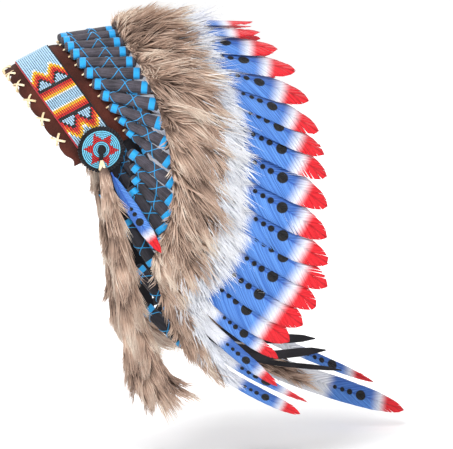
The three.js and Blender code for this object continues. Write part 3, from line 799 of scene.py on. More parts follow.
def strand_model():
    """One hair along +X, 1 long, that thins to its tip."""
    stations = ((0, 0.6), (0.45, 1.0), (1.0, 0.08))
    angles = np.arange(3) * 2 * math.pi / 3
    rings = np.array([[[at, size * math.cos(a), size * math.sin(a)] for a in angles] for at, size in stations])
    marks = np.zeros((1, len(stations), 3, 3))
    marks[0, :, :, 0] = np.array([at for at, _ in stations])[:, None]
    shape = Shape().tubes(rings[None] / MM, marks)
    along = np.concatenate(shape.marks)[:, 0]
    mesh = shape.mesh("strand_model", False, grown=[("along", along)])
    mesh.attributes.remove(mesh.attributes["place"])
    return bpy.data.objects.new("strand_model", mesh)


STRAND = strand_model()
STRAND_TREE = strand_tree()


def joined_mesh(name, meshes):
    """One mesh of several, which keeps their attributes."""
    objects = [bpy.data.objects.new(name, mesh) for mesh in meshes]
    for one in objects:
        bpy.context.scene.collection.objects.link(one)
    with bpy.context.temp_override(active_object=objects[0], object=objects[0],
                                   selected_objects=objects, selected_editable_objects=objects):
        bpy.ops.object.join()
    mesh = objects[0].data
    bpy.data.objects.remove(objects[0])
    return mesh


def with_hair(name, skin, strands, finish, stands_for=()):
    """A piece of fur: its closed skin with hairs on it."""
    # The skin is coloured like the hair near its roots, so the partings between locks show dark: painted shade.
    for label, value in (("along", 0.1), ("strand", 0.3)):
        layer = skin.attributes.new(label, "FLOAT", "POINT")
        layer.data.foreach_set("value", np.full(len(skin.vertices), value, np.float32))
    hairs = grown(name + "_hair", skin.copy(), STRAND_TREE, {"Strand": STRAND, **strands})
    return finished_piece(name, joined_mesh(name, [skin, hairs]), [finish], stands_for)


def fur_strip(rows, start, end, section):
    """The skin of a fur trim, with the lay, length and thickness of the hairs on it."""
    steps = max(8, round((end - start) * 5))
    numbers = np.linspace(start, end, steps + 1)
    at, height, growth, reach, lie_along, lie_out = (np.array(column, float) for column in zip(*section))
    rings, lays = [], []
    for i, number in enumerate(numbers):
        shorter = FUR_SHORTER * smooth(FUR_SHORT_FROM, FUR_SHORT_TO, number)
        thinner = 1 - (1 - FUR_THINNER) * smooth(FUR_THIN_FROM, FUR_THIN_TO, number)
        places = at - shorter * smooth(80, 120, at)
        middle, along, down, out = feather_frame(rows, number, places)
        wander = 0.9 * math.sin(i * 1.7) + 0.6 * math.sin(i * 0.53)
        grows = growth > 0.5
        rings.append(middle + out * (height * np.where(grows, thinner, 1) + wander * grows)[:, None])
        sag = FUR_SAG * smooth(1, 7, number)
        swirl = 0.16 * math.sin(number * 2.3) + 0.12 * math.sin(number * 5.1 + 1)
        lays.append(along * lie_along[:, None] + out * lie_out[:, None] + down * (sag + swirl))
    rings, lays = np.array(rings)[None], np.array(lays)[None]
    shape = Shape().tubes(rings)
    growths = np.broadcast_to(growth[:, None], lays.shape[1:])[None]
    shorter = 1 - FUR_SHORT_LOW * smooth(FUR_THIN_FROM - 1, FUR_THIN_TO - 1, numbers)[:, None]
    reaches = np.broadcast_to((reach * shorter * MM)[..., None], lays.shape[1:])[None]
    return shape, [
        ("lay", unit(Shape.with_caps(lays)).reshape(-1, 3)),
        ("growth", Shape.with_caps(growths)[0, :, 0]),
        ("reach", Shape.with_caps(reaches)[0, :, 0]),
    ]


FUR_LOOK = {"Thickness": 0.00062, "Rise": 0.14, "Stray": 0.11, "Lock Size": 0.015,
            "Lock Pull": 0.2, "Gather": 0.78, "Curl": 0.05, "Droop": 0.03}
DOWN_LOOK = {"Thickness": 0.00048, "Rise": 0.12, "Stray": 0.2, "Lock Size": 0.012,
             "Lock Pull": 0.2, "Gather": 0.3, "Curl": 0.16, "Droop": 0.02}


def fur_trims():
    trims = (
        ("left", LEFT_ROW, FUR_START, LAST_FEATHER, False),
        ("right", LEFT_ROW, FUR_START, LAST_ALIKE, True),
        ("tail_right", RIGHT_TAIL_ROW, *TAIL_FUR, True),
    )
    for i, (side, rows, start, end, mirrored) in enumerate(trims):
        shape, marks = fur_strip(rows, start, end, FUR_SECTION)
        skin = shape.mesh("fur_skin_" + side, mirrored, grown=marks)
        node = "fur_" + side if side.startswith("tail") else "fur_trim_" + side
        with_hair(node + "_dressed", skin, {**FUR_LOOK, "Density": 230000.0, "Seed": 20 + i},
                  TAUPE_FUR, [node])
        shape, marks = fur_strip(rows, start, end, DOWN_SECTION)
        skin = shape.mesh("down_skin_" + side, mirrored, grown=marks)
        with_hair("white_down_" + side, skin, {**DOWN_LOOK, "Density": 150000.0, "Seed": 30 + i},
                  WHITE_DOWN)
    shape, marks = fur_strip(RIGHT_TAIL_ROW, *TAIL_INNER, TAIL_INNER_SECTION)
    skin = shape.mesh("tail_lining_skin", True, grown=marks)
    with_hair("fur_tail_lining", skin, {**FUR_LOOK, "Density": 230000.0, "Seed": 36}, TAUPE_FUR)


def spline(values, shares, wanted):
    """Smooth values through stations, by share."""
    values = np.asarray(values, float)
    slopes = np.gradient(values, shares, axis=0)
    i = np.clip(np.searchsorted(shares, wanted, side="right") - 1, 0, len(shares) - 2)
    width = (shares[i + 1] - shares[i])[:, None]
    t = ((wanted - shares[i]) / (shares[i + 1] - shares[i]))[:, None]
    return (values[i] * (2 * t**3 - 3 * t**2 + 1) + slopes[i] * width * (t**3 - 2 * t**2 + t)
            + values[i + 1] * (3 * t**2 - 2 * t**3) + slopes[i + 1] * width * (t**3 - t**2))


def fur_drops():
    shares = np.linspace(0, 1, len(DROP_FORM))
    table = [(*middle, wide, deep) for middle, wide, deep in DROP_FORM]
    rows = spline(table, shares, np.linspace(0, 1, 33))
    across = unit(np.array([1, 0, 0.25]))
    angles = np.arange(14) * 2 * math.pi / 14
    middle = rows[:, None, :3]
    ring = middle + across * (np.cos(angles)[:, None] * rows[:, None, 3:4] / 2) \
        - Y_WAY * (np.sin(angles)[:, None] * rows[:, None, 4:5] / 2)
    down = unit(np.gradient(rows[:, :3], axis=0))[:, None]
    spread = unit(ring - middle)
    depth = np.linspace(0, 1, 33)[:, None, None]
    lays = unit(np.broadcast_to(down, ring.shape) + spread * (0.02 + 0.55 * depth**4) + across * (depth**3 * 0.1))
    reach = np.broadcast_to((9 + 27 * smooth(0.02, 0.3, depth)) * MM, ring.shape)
    growth = np.broadcast_to(0.5 + 0.5 * smooth(0.0, 0.2, depth), ring.shape)
    for side in ("left", "right"):
        shape = Shape().tubes(ring[None])
        skin = shape.mesh("drop_skin_" + side, side == "right", side == "right", [
            ("lay", Shape.with_caps(lays[None])[0]),
            ("growth", Shape.with_caps(growth[None])[0, :, 0]),
            ("reach", Shape.with_caps(reach[None])[0, :, 0]),
        ])
        look = {**FUR_LOOK, "Rise": 0.12, "Stray": 0.09, "Density": 300000.0, "Droop": 0.0, "Seed": 40}
        with_hair(f"fur_drop_{side}_dressed", skin, look, TAUPE_FUR, ["fur_drop_" + side])


def tube_rings(path, wide_way, wide, thick, sides):
    """Rings of an oval tube along a path, its width along wide_way."""
    path = np.asarray(path, float)
    along = unit(np.gradient(path, axis=0))
    wide_way = np.broadcast_to(np.asarray(wide_way, float), path.shape)
    wide_way = unit(wide_way - along * np.sum(wide_way * along, -1, keepdims=True))
    thick_way = np.cross(along, wide_way)
    angles = np.arange(sides) * 2 * math.pi / sides
    wide, thick = (np.broadcast_to(size, len(path))[:, None, None] / 2 for size in (wide, thick))
    return (path[:, None] + wide_way[:, None] * np.cos(angles)[:, None] * wide
            + thick_way[:, None] * np.sin(angles)[:, None] * thick)


def add_vane(shape, frame_at, start, length, widths, seed, clumps=34, barb_sweep=1.0, dye=1.0, all_blue=300):
    """Barbs in narrow clumps on both sides of a shaft, with splits between some of them.
    frame_at gives the middle, along, wide way and thick way at distances from the wrap's start.
    dye is the scale of the dyes and dots on it, and past all_blue the dye stays blue."""
    chance = np.random.default_rng(seed)
    shares, full = zip(*widths)
    reach = length - start

    def half_width(distance):
        return np.interp((distance - start) / reach, shares, full) / 2

    def shaft_over(distance):
        return -SHAFT_SHIFT * half_width(distance) * smooth(length, length - 22, distance)

    edges = start + 8 * barb_sweep + (reach - 8 * barb_sweep) * np.linspace(0, 1, clumps + 1)
    t = np.array([0.0, 0.34, 0.72, 1.0])
    stations = []
    for side in (-1, 1):
        borders = edges + chance.uniform(-0.9, 0.9, clumps + 1)
        borders[-1] = length
        for i in range(clumps):
            ragged = smooth(0.78, 0.97, (borders[i] - start) / reach)
            split = chance.uniform(1.5, 4.0) if chance.random() < 0.03 + 0.06 * ragged else -0.5
            short = 1 - abs(chance.normal(0, 0.006 + 0.014 * ragged))
            tuck = chance.uniform(-0.5, 0.5) * (0.4 + ragged)
            lines = []
            for edge, pull in ((borders[i], split / 2), (borders[i + 1], -split / 2)):
                half = half_width(edge) if edge < length else 0
                begin = edge - (6 + 1.35 * half) * barb_sweep
                root = shaft_over(begin)
                at = begin + (edge - begin) * t**1.15 + pull * t**2 - (1 - short) * 14 * t**4
                over = root + (side * half - root) * t**0.92 * (1 - (1 - short) * t**3)
                lines.append((np.minimum(at, length + 1), over, np.full(4, begin)))
            a, b = lines
            middle = [(x + y) / 2 for x, y in zip(a, b)]
            narrow = np.array([0.0, 0.0, 0.0, 0.1])
            a = [x + (m - x) * narrow for x, m in zip(a, middle)]
            b = [y + (m - y) * narrow for y, m in zip(b, middle)]
            thin = np.array([0.5, 0.42, 0.32, 0.22])
            lift = tuck * t**3
            corners = [(a, thin / 2), (middle, thin / 2 + 0.1), (b, thin / 2),
                       (b, -thin / 2), (middle, -thin / 2 - 0.1), (a, -thin / 2)]
            stations.append(np.stack([np.stack([*c[0], c[1] + lift], -1) for c in corners], 1))
    stations = np.array(stations)
    at, over, barb, high = (stations[..., k] for k in range(4))
    camber = -0.09 * np.abs(over) ** 1.2
    across = over - shaft_over(at)
    middle, _, wide_way, thick_way = frame_at(at)
    points = middle + wide_way * over[..., None] + thick_way * (high + camber)[..., None]
    shape.tubes(points, np.stack([np.minimum((length - at) / dye, all_blue), across / dye, barb], -1))
    shaft_at = np.linspace(start - 8 * barb_sweep, length - 3, 13)
    middle, _, wide_way, thick_way = frame_at(shaft_at)
    size = np.interp(shaft_at, [start, length], [2.0, 0.5])
    middle = middle + wide_way * shaft_over(shaft_at)[:, None] + thick_way * 0.2
    rings = tube_rings(middle, wide_way, size, size * 0.9, 5)
    place = np.zeros(rings.shape)
    place[..., 0] = np.minimum((length - shaft_at)[:, None] / dye, all_blue)
    place[..., 2] = shaft_at[:, None]
    shape.tubes(rings[None], place[None])


def add_wrap(shape, frame_at, rooms, seed):
    """The rolled suede over a quill, its two thread bands and the thread laced across it."""
    def half_room(distance):
        return (rooms[0] + (rooms[1] - rooms[0]) * distance / WRAP_LENGTH) / 2

    chance = np.random.default_rng(seed)
    at = np.array([0, 0.8, 2.2, 6, 12, 18, 24, 30, 36, 42, 48, 54, 60, 64, 65.4, 66.2])
    full = np.array([0.5, 0.82, 1, 1, 1, 1, 1, 1, 1, 1, 1, 1, 1, 0.96, 0.8, 0.5])
    angles = np.arange(12) * 2 * math.pi / 12
    middle, along, wide_way, thick_way = frame_at(at)
    lumps = 1 + chance.normal(0, 0.02, (len(at), 12))
    pinched = np.where((abs(at - 6) < 4) | (abs(at - 60) < 4), 0.96, 1.0)
    size = (full * pinched)[:, None] * lumps
    rings = (middle[:, None] + wide_way[:, None] * (np.cos(angles) * size * half_room(at)[:, None])[..., None]
             + thick_way[:, None] * (np.sin(angles) * size * WRAP_RADIUS * 1.04)[..., None])
    place = np.stack(np.broadcast_arrays(at[:, None], angles * 5.5, seed * 3.7), -1)
    shape.tubes(rings[None], place[None], 1)
    for band in (3.2, 54.6):
        offsets = np.array([0, 0.25, 1.6, 2.9, 4.2, 5.6, 7.0, 7.3])
        swell = np.array([0.90, 1.03, 1.055, 1.045, 1.06, 1.045, 1.03, 0.90]) + chance.normal(0, 0.004, 8)
        middle, along, wide_way, thick_way = frame_at(band + offsets)
        wide = (swell * half_room(band + offsets))[:, None]
        rings = (middle[:, None] + wide_way[:, None] * (np.cos(angles) * wide)[..., None]
                 + thick_way[:, None] * (np.sin(angles) * swell[:, None] * WRAP_RADIUS * 1.03)[..., None])
        place = np.zeros(rings.shape)
        place[..., 0] = (band + offsets)[:, None]
        shape.tubes(rings[None], place[None], 2)
    steps = np.linspace(11, 54, 27)
    middle, _, wide_way, thick_way = frame_at(steps)
    phase = chance.uniform(-0.5, 0.5)
    for turn in (-1, 1):
        angle = math.pi / 2 + turn * (2 * math.pi * (steps - 11) / 27 + phase)
        path = (middle + wide_way * (np.cos(angle) * (half_room(steps) + 0.25))[:, None]
                + thick_way * (np.sin(angle) * (WRAP_RADIUS * 1.04 + 0.25))[:, None])
        rings = tube_rings(path, thick_way, 1.05, 1.05, 4)
        place = np.zeros(rings.shape)
        place[..., 0] = steps[:, None] * 2
        shape.tubes(rings[None], place[None], 2)


def feather_frames(rows, number):
    """Gives frame_at for one feather of the row, rolled like a roof tile, and its length."""
    stations = np.concatenate([np.linspace(0, 64, 9), np.linspace(66, 330, 45)])
    length = FeatherLine(rows, number).length
    middle, along, down, out = feather_frame(rows, number, stations)
    beyond = np.maximum(stations - length, 0)[:, None]
    middle = middle + along * beyond
    share = stations / length
    roll = 0 if number == 0 else SHINGLE_ROOT + (SHINGLE_TIP - SHINGLE_ROOT) * share[:, None]
    if number == 0:
        middle = middle + out * (2.6 * smooth(66, 74, stations))[:, None]
    wide_way = down * np.cos(roll) + out * np.sin(roll)
    thick_way = out * np.cos(roll) - down * np.sin(roll)
    table = np.concatenate([middle, along, wide_way, thick_way], 1)

    def frame_at(distance):
        found = np.stack([np.interp(distance, stations, column) for column in table.T], -1)
        return found[..., :3], unit(found[..., 3:6]), unit(found[..., 6:9]), unit(found[..., 9:])
    return frame_at, length


FEATHER_FINISHES = (DYED_VANE, WRAP_SUEDE, TURQUOISE_THREAD)


def marked(mesh, label, value):
    layer = mesh.attributes.new(label, "FLOAT", "POINT")
    layer.data.foreach_set("value", np.full(len(mesh.vertices), value, np.float32))


def feathers():
    plan = [("centre", 0, LEFT_ROW, False)]
    for number in range(1, LAST_FEATHER + 1):
        plan.append((f"left_{number:02d}", number, LEFT_ROW, False))
        plan.append((f"right_{number:02d}", number, RIGHT_TAIL_ROW if number > LAST_ALIKE else LEFT_ROW, True))
    for i, (tag, number, rows, mirrored) in enumerate(plan):
        frame_at, length = feather_frames(rows, number)
        shape = Shape()
        tail = rows is RIGHT_TAIL_ROW
        slim = (RIGHT_TAIL_SLIM if tail else LEFT_SLIM).get(number, 1)
        widths = [(share, full * slim) for share, full in VANE_WIDTH]
        dye = 1 if tail else SLIM_DYES.get(number, 1)
        add_vane(shape, frame_at, VANE_START, length, widths, 500 + i, dye=dye)
        add_wrap(shape, frame_at, wrap_widths(rows, number), 600 + i)
        mesh = shape.mesh("feather_mesh_" + tag, mirrored)
        marked(mesh, "tone", (i * 0.37) % 1)
        # Painted shade over the wraps of the lower feathers, from none at feather 11 to full at 15.
        marked(mesh, "lower_row_shade", smooth(11, 15, number))
        finished_piece(f"feather_{tag}_dressed", mesh, FEATHER_FINISHES, ["feather_" + tag])


def side_feathers():
    shares = np.array([0, 0.22, 0.6, 1.0])
    reach = 120.0
    stations = np.linspace(0, reach, 25)
    path = spline(SIDE_FEATHER_PATH, shares, stations / reach)
    along = unit(np.gradient(path, axis=0))
    out = unit(np.array([-0.15, -1, 0.1]))
    wide_way = unit(np.cross(out, along))
    thick_way = np.cross(along, wide_way)
    table = np.concatenate([path, along, wide_way, thick_way], 1)

    def frame_at(distance):
        found = np.stack([np.interp(distance, stations, column) for column in table.T], -1)
        return found[..., :3], unit(found[..., 3:6]), unit(found[..., 6:9]), unit(found[..., 9:])

    widths = ((0, 4), (0.12, 9), (0.4, 15), (0.74, 14), (0.92, 8), (1, 1))
    for side in ("left", "right"):
        shape = Shape()
        add_vane(shape, frame_at, 14, reach, widths, 700, 22, barb_sweep=0.6, dye=0.72, all_blue=90)
        mesh = shape.mesh("side_feather_mesh_" + side, side == "right", side == "right")
        marked(mesh, "tone", 0.3)
        finished_piece(f"side_feather_{side}_dressed", mesh, [DYED_VANE], ["side_feather_" + side])


def headband():
    """The suede band, its front edge pulled into scallops by the laces."""
    steps = 190
    angle = np.linspace(-ARCH_END, ARCH_END, steps + 1)
    laces = angle / (math.pi / 2) * (RIM_LENGTH / LACE_PITCH)
    pinch = np.cos(math.pi * laces) ** 4
    front = BAND_FRONT + LACE_PINCH * pinch
    pucker = 0.9 * pinch
    ripple = 0.25 * np.sin(angle * 57) + 0.2 * np.sin(angle * 91)
    half = SUEDE_THICK / 2
    outline = [
        (front - 0.1, -FRONT_TUCK - half), (front + 0.5, -FRONT_TUCK - 0.3 + pucker * 0.5),
        (front + 2.5, -FRONT_TUCK + 0.2 + pucker), (front + 7, -0.9 + pucker * 0.3 + ripple * 0.5),
        (-24, 0), (0, 0), (BAND_MARGIN - 1.5, 0), (BAND_MARGIN + 3, None), (34, None), (BAND_REAR - 1.2, None),
        (BAND_REAR, "edge"), (BAND_REAR - 1.2, "inner"), (34, "inner"), (BAND_MARGIN + 3, "inner"),
        (BAND_MARGIN - 1.5, -SUEDE_THICK), (0, -SUEDE_THICK), (-24, -SUEDE_THICK),
        (front + 7, -0.9 - SUEDE_THICK), (front + 2.5, -FRONT_TUCK - SUEDE_THICK + 0.1),
        (front + 0.5, -FRONT_TUCK - SUEDE_THICK + 0.3),
    ]
    rings = []
    for across, out in outline:
        across = np.broadcast_to(across, angle.shape).astype(float)
        drop = -margin_drop(angle, across)
        heights = {None: drop, "edge": drop - half, "inner": drop - SUEDE_THICK}
        out = heights[out] if out is None or isinstance(out, str) else out
        rings.append(arch_point(angle, across, np.broadcast_to(out, angle.shape)))
    shape = Shape().tubes(np.stack(rings, 1)[None])
    finished_piece("headband_dressed", shape.mesh("headband_mesh", False), [BROWN_SUEDE], ["headband"])


def bead_tree():
    """A bead on each point of a base that carries axis (the way of its hole), up and hue."""
    nodes, given = group_tree("bead_rows", [
        ("Bead", "NodeSocketObject", None),
        ("Length", "NodeSocketFloat", 0.0015),
        ("Width", "NodeSocketFloat", 0.0016),
        ("Unevenness", "NodeSocketFloat", 0.06),
        ("Seed", "NodeSocketInt", 1),
    ])
    points = nodes.add("GeometryNodeMeshToPoints", {"mode": "VERTICES"}, {"Mesh": given["Geometry"]})
    turn = nodes.add("FunctionNodeAlignRotationToVector", {"axis": "X"},
                     {"Vector": named(nodes, "axis", "FLOAT_VECTOR")})
    turn = nodes.add("FunctionNodeAlignRotationToVector", {"axis": "Z", "pivot_axis": "X"},
                     {"Rotation": turn, "Vector": named(nodes, "up", "FLOAT_VECTOR")})
    chance = nodes.tree.nodes.new("FunctionNodeRandomValue")
    chance.data_type = "FLOAT"
    chance.inputs[2].default_value = -1.0
    chance.inputs[3].default_value = 1.0
    nodes.tree.links.new(given["Seed"].socket, chance.inputs["Seed"])
    size = 1 + Wire(nodes, chance.outputs[1]) * given["Unevenness"]
    beads = nodes.add("GeometryNodeInstanceOnPoints", None, {
        "Points": points,
        "Instance": nodes.add("GeometryNodeObjectInfo", None, {"Object": given["Bead"]}, "Geometry"),
        "Rotation": turn,
        "Scale": nodes.add("ShaderNodeCombineXYZ", None, [
            given["Length"] * size, given["Width"] * size, given["Width"] * size]),
    })
    real = nodes.add("GeometryNodeRealizeInstances", None, {0: beads})
    set_material = nodes.add("GeometryNodeSetMaterial", None, {"Geometry": real, "Material": GLASS_BEADS})
    nodes.add("NodeGroupOutput", None, [set_material])
    return nodes.tree


def bead_model():
    """A rounded bead, 1 long along its hole and 1 wide."""
    rings = []
    for at, size in ((-0.5, 0.32), (-0.28, 0.5), (0.28, 0.5), (0.5, 0.32)):
        angles = np.arange(6) * math.pi / 3
        rings.append([[at, size * math.cos(a), size * math.sin(a)] for a in angles])
    mesh = Shape().tubes(np.array(rings)[None] / MM).mesh("bead_model", False)
    mesh.attributes.remove(mesh.attributes["place"])
    return bpy.data.objects.new("bead_model", mesh)


def bead_cloud(name, points, axis, up, keys):
    """The points that beads are set on."""
    mesh = bpy.data.meshes.new(name)
    mesh.vertices.add(len(points))
    mesh.vertices.foreach_set("co", (points * MM).ravel().astype(np.float32))
    hues = np.array([(BEAD_KEYS.index(key) + 0.5) / 8 for key in keys], np.float32)
    for label, value in (("axis", axis), ("up", up)):
        layer = mesh.attributes.new(label, "FLOAT_VECTOR", "POINT")
        layer.data.foreach_set("vector", np.ascontiguousarray(value).ravel().astype(np.float32))
    mesh.attributes.new("hue", "FLOAT", "POINT").data.foreach_set("value", hues)
    return mesh


def brow_bead(row, column):
    """The chart of the brow band. Rows count from the middle of its motif, columns from 0 to 15."""
    row = abs(row)
    if row < 11:
        return "LLLLWYYOORR"[row]
    if row in (11, 12):
        return "K"
    peak = 9 * (1 - abs((column % 8) - 3.5) / 4)
    level = row - 12 - peak
    bounds = ((-1.1, "L"), (0.7, "K"), (3.4, "R"), (6, "O"), (8.8, "Y"), (10.2, "W"))
    return next((key for top, key in bounds if level <= top), "L")


def brow_strip(bead, tree):
    rows = np.arange(-BEAD_ROWS_A_SIDE, BEAD_ROWS_A_SIDE + 1)
    across = (np.arange(BEAD_COLUMNS) + 0.5) / BEAD_COLUMNS * 2 * (BROW_HALF_WIDTH - 0.9) - BROW_HALF_WIDTH + 0.9
    angle = arch_angle(rows * BEAD_ROW, 2.2)
    grid_angle, grid_across = np.meshgrid(angle, across, indexing="ij")
    points = arch_point(grid_angle, grid_across, 1.75)
    up = unit(arch_point(grid_angle, grid_across, 5) - arch_point(grid_angle, grid_across, 0))
    axis = np.broadcast_to(BACK_ACROSS, points.shape)
    middle = round(MOTIF_MIDDLE)
    keys = [brow_bead(abs(int(row)) - middle, column) for row in rows for column in range(BEAD_COLUMNS)]
    cloud = bead_cloud("brow_cloud", points.reshape(-1, 3), axis.reshape(-1, 3), up.reshape(-1, 3), keys)
    settings = {"Bead": bead, "Length": 0.00196, "Width": 0.00148, "Unevenness": 0.06, "Seed": 3}
    finished_piece("brow_beads", grown("brow_beads_made", cloud, tree, settings), [GLASS_BEADS])
    turns = np.radians(np.linspace(-BROW_END, BROW_END, 121))
    edge = BROW_HALF_WIDTH
    outline = ((-edge, SEAT), (edge, SEAT), (edge - 0.4, 0.9), (0, 0.9), (0.4 - edge, 0.9))
    rings = np.stack([arch_point(turns, a, np.full(turns.shape, o)) for a, o in outline], 1)
    shape = Shape().tubes(rings[None])
    walk = np.linspace(0, 1, 121) * 300
    for sign, slot, size in ((-1, 1, 1.7), (1, 2, 1.5)):
        path = arch_point(turns, np.full(turns.shape, sign * (edge - 0.2)), 1.1)
        cord = tube_rings(path, BACK_ACROSS, size, size, 6)
        place = np.zeros(cord.shape)
        place[..., 0] = walk[:, None]
        shape.tubes(cord[None], place[None], slot)
    # The dark backing is painted shade in the gaps between the beads.
    finishes = [LOOM_SHADE_THREAD, CRIMSON_THREAD, BLACK_SUEDE]
    finished_piece("brow_band_backing", shape.mesh("brow_backing_mesh", False), finishes, ["brow_band"])


STAR_TURN = math.radians(-4)
STAR_TIP = 0.95
STAR_VALLEY = 0.52
STAR_HEART = 0.4


def rosette_bead(radius, angle):
    """The chart of the rosette: a red six-pointed star in rings of light blue beads."""
    share = radius / ROSETTE_BEADS
    if share < STAR_HEART:
        return "B"
    part = abs(((angle - STAR_TURN) / (math.pi / 3) + 0.5) % 1 - 0.5) * math.pi / 3
    tip = np.array([STAR_TIP, 0])
    valley = STAR_VALLEY * np.array([math.cos(math.pi / 6), math.sin(math.pi / 6)])
    edge = valley - tip
    here = share * np.array([math.cos(part), math.sin(part)]) - tip
    inside = edge[0] * here[1] - edge[1] * here[0] > 0
    return "S" if inside else "B"


def rosettes(bead, tree):
    for side in ("left", "right"):
        points, axes, keys = [], [], []
        for ring in range(1, 11):
            radius = ring * 2.06
            count = round(2 * math.pi * radius / 1.72)
            for k in range(count):
                angle = 2 * math.pi * (k + 0.5 * (ring % 2)) / count
                points.append((radius * math.cos(angle), 0, radius * math.sin(angle)))
                axes.append((-math.sin(angle), 0, math.cos(angle)))
                keys.append(rosette_bead(radius, angle))
        place = ROSETTE_PLACE + [0, -ROSETTE_THICK - 0.1, 0]
        flip = np.array([1, -1, 1]) if side == "right" else np.ones(3)
        points, axes = (np.array(points) + place) * flip, np.array(axes)
        up = np.broadcast_to(-Y_WAY * flip, points.shape)
        cloud = bead_cloud("rosette_cloud_" + side, points, axes, up, keys)
        settings = {"Bead": bead, "Length": 0.0016, "Width": 0.0017, "Unevenness": 0.05, "Seed": 5}
        finished_piece("rosette_beads_" + side, grown("rosette_made_" + side, cloud, tree, settings),
                       [GLASS_BEADS])
        profile = ((2, 0), (20, 0), (23.7, 0), (25, 1.2), (24.8, 2.9), (23.4, 3.8), (22, 3.3),
                   (21.4, 3.0), (12, 3.3), (2, 3.3))
        turns = np.arange(60) * 2 * math.pi / 60
        rings = np.array([[ROSETTE_PLACE + [r * math.cos(a), -h, r * math.sin(a)] for a in turns] for r, h in profile])
        shape = Shape().tubes(rings[None])
        loops = 44
        for k in range(loops):
            angle = 2 * math.pi * k / loops
            path = []
            for radius, high, turn in ((21.4, 2.6, 0), (22.2, 4.2, 0.01), (23.6, 4.6, 0.03), (25.0, 3.6, 0.05),
                                       (25.6, 1.9, 0.06), (24.8, 0.4, 0.06)):
                a = angle + turn
                path.append(ROSETTE_PLACE + [radius * math.cos(a), -high, radius * math.sin(a)])
            side_way = np.array([-math.sin(angle), 0, math.cos(angle)])
            shape.tubes(tube_rings(path, side_way, 2.9, 1.3, 5)[None], slot=0)
        mesh = shape.mesh("rosette_mesh_" + side, side == "right")
        finished_piece(f"rosette_{side}_dressed", mesh, [BLACK_SUEDE], ["rosette_" + side])


def laces():
    """The hide laces crossed over the front edge and tied at the drops, and the knots of the wraps."""
    shape = Shape()
    chance = np.random.default_rng(77)
    angles = [math.pi / 2 * LACE_PITCH / RIM_LENGTH * k for k in range(-5, 6)]
    for angle in angles:
        for turn in (-1, 1):
            spread = 0.062 + chance.uniform(-0.006, 0.006)
            spots = ((-27.5, 0.4, 0.9), (-30, 1.5, 0.55), (-33.6, 1.7, 0.0), (-36.2, 0.7, -0.5),
                     (-37.6, -2.2, -0.85), (-35.5, -4.9, -0.9))
            path = np.array([arch_point(angle + turn * spread * s, a, o + 0.3 * turn) for a, o, s in spots])
            shares = np.linspace(0, 1, len(path))
            path = spline(path, shares, np.linspace(0, 1, 13))
            shape.tubes(tube_rings(path, BACK_ACROSS + Y_WAY * 0.01, 2.6, 1.0, 6)[None])
    for side in (1, -1):
        for turn in (-1, 1):
            path = [(2.4, -97.6, -16), (2.6 + turn, -99.4, -18.6), (2.8 + 1.8 * turn, -100, -22), (3 + 2.6 * turn, -99.6, -26.5)]
            hide = tube_rings(np.array(path) * [1, side, 1], BACK_ACROSS, 3.2, 1.3, 6)
            shape.tubes(hide[None])
    finished_piece("hide_laces", shape.mesh("hide_laces_mesh", False), [HIDE_LACE])
    knots = Shape()
    for number in range(-ARCH_FEATHERS, ARCH_FEATHERS + 1):
        angle = arch_angle(number * ROW_PITCH, WRAP_RADIUS)
        drop = margin_drop(angle, ROW_ACROSS)
        for spot, size in ((-1.8, 2.0), (0.2, 2.4)):
            angles = np.arange(6) * math.pi / 3
            start = arch_point(angle, ROW_ACROSS - 1.6 + spot, 3.2 - drop * ROW_SINK)
            path = [start, start + BACK_ACROSS * 0.7, start + BACK_ACROSS * 1.8, start + BACK_ACROSS * 2.4]
            knots.tubes(tube_rings(path, Y_WAY, np.array([0.5, 1, 1, 0.5]) * size,
                                   np.array([0.5, 1, 1, 0.5]) * size, 7)[None])
    finished_piece("wrap_knots", knots.mesh("wrap_knots_mesh", False), [HIDE_LACE])


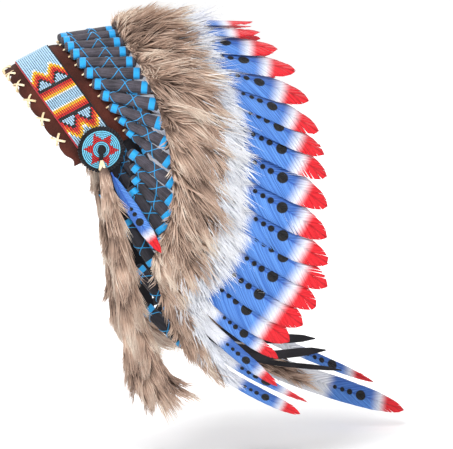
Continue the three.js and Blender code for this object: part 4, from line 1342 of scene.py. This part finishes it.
def camera_and_lights():
    turn, lift = VIEW_AZIMUTH, VIEW_ELEVATION
    back = Vector((math.sin(turn) * math.cos(lift), -math.cos(turn) * math.cos(lift), math.sin(lift)))
    right = Vector((math.cos(turn), math.sin(turn), 0))
    up = back.cross(right)
    data = bpy.data.cameras.new("photo_camera")
    data.lens = VIEW_LENS
    data.clip_end = 50
    camera = bpy.data.objects.new("photo_camera", data)
    bpy.context.scene.collection.objects.link(camera)
    camera.location = back * VIEW_DISTANCE
    target = right * VIEW_RIGHT + up * VIEW_UP
    facing = (target - camera.location).to_track_quat("-Z", "Y")
    camera.rotation_euler = (facing @ Quaternion((0, 0, 1), VIEW_ROLL)).to_euler()
    bpy.context.scene.camera = camera

    def soft_light(name, place, size, power):
        light = bpy.data.lights.new(name, "AREA")
        light.shape = "DISK"
        light.size = size
        light.energy = power
        lamp = bpy.data.objects.new(name, light)
        bpy.context.scene.collection.objects.link(lamp)
        lamp.location = place
        lamp.rotation_euler = (Vector((0.1, 0, -0.1)) - Vector(place)).to_track_quat("-Z", "Y").to_euler()

    soft_light("key_light", (-0.7, -1.5, 1.7), 0.9, 46)
    soft_light("fill_light", (1.6, -1.6, 0.5), 1.6, 10)
    soft_light("rim_light", (0.8, 1.6, 1.6), 1.2, 20)
    world = bpy.data.worlds.new("white_studio")
    world.use_nodes = True
    sky = Nodes(world.node_tree)
    seen = sky.add("ShaderNodeLightPath", None, (), "Is Camera Ray")
    sky.tree.links.new((seen * (1 - SKY_LIGHT) + SKY_LIGHT).socket,
                       sky.tree.nodes["Background"].inputs["Strength"])
    sky.tree.nodes["Background"].inputs["Color"].default_value = (1, 1, 1, 1)
    bpy.context.scene.world = world
    bpy.context.scene.view_settings.view_transform = "Standard"


def floor_finish(nodes):
    speck = nodes.noise(3.0, 2.0)
    # Painted light: the floor glows white everywhere but in an ellipse under the headdress, where the rendered shadow
    # is left to show.
    place = nodes.add("ShaderNodeTexCoord", None, (), "Object")
    place = vector_maths(nodes, "SUBTRACT", place, (0.2, 0, FLOOR_LEVEL))
    place = vector_maths(nodes, "MULTIPLY", place, (0.5, 1.3, 1))
    far = nodes.step(0.1, 0.34, vector_maths(nodes, "LENGTH", place))
    return {
        "Base Color": nodes.mix(speck, colour(248, 248, 248), colour(252, 252, 252)),
        "Roughness": 0.9,
        "Specular IOR Level": 0.0,
        "Emission Color": nodes.mix(far, (0, 0, 0, 1), (1, 1, 1, 1)),
        "Emission Strength": FLOOR_GLOW,
    }


def studio_floor():
    mesh = bpy.data.meshes.new("studio_floor")
    side = 12.0
    corners = ((-side, -side), (side, -side), (side, side), (-side, side))
    mesh.from_pydata([(x, y, FLOOR_LEVEL) for x, y in corners], [], [(0, 1, 2, 3)])
    mesh.materials.append(material("pale_floor", floor_finish))
    floor = bpy.data.objects.new("studio_floor", mesh)
    bpy.context.scene.collection.objects.link(floor)


STRAPS = ("rosette_thong_left", "rosette_thong_right", "side_strip_left", "side_strip_right",
          "cross_tie_upper", "cross_tie_lower", "tie_strip_1", "tie_strip_2", "tie_strip_3", "tie_strip_4")

camera_and_lights()
studio_floor()
headband()
bead = bead_model()
beads = bead_tree()
brow_strip(bead, beads)
rosettes(bead, beads)
laces()
for strap in STRAPS:
    for strap_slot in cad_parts[strap].material_slots:
        strap_slot.material = BLACK_SUEDE
feathers()
side_feathers()
fur_trims()
fur_drops()
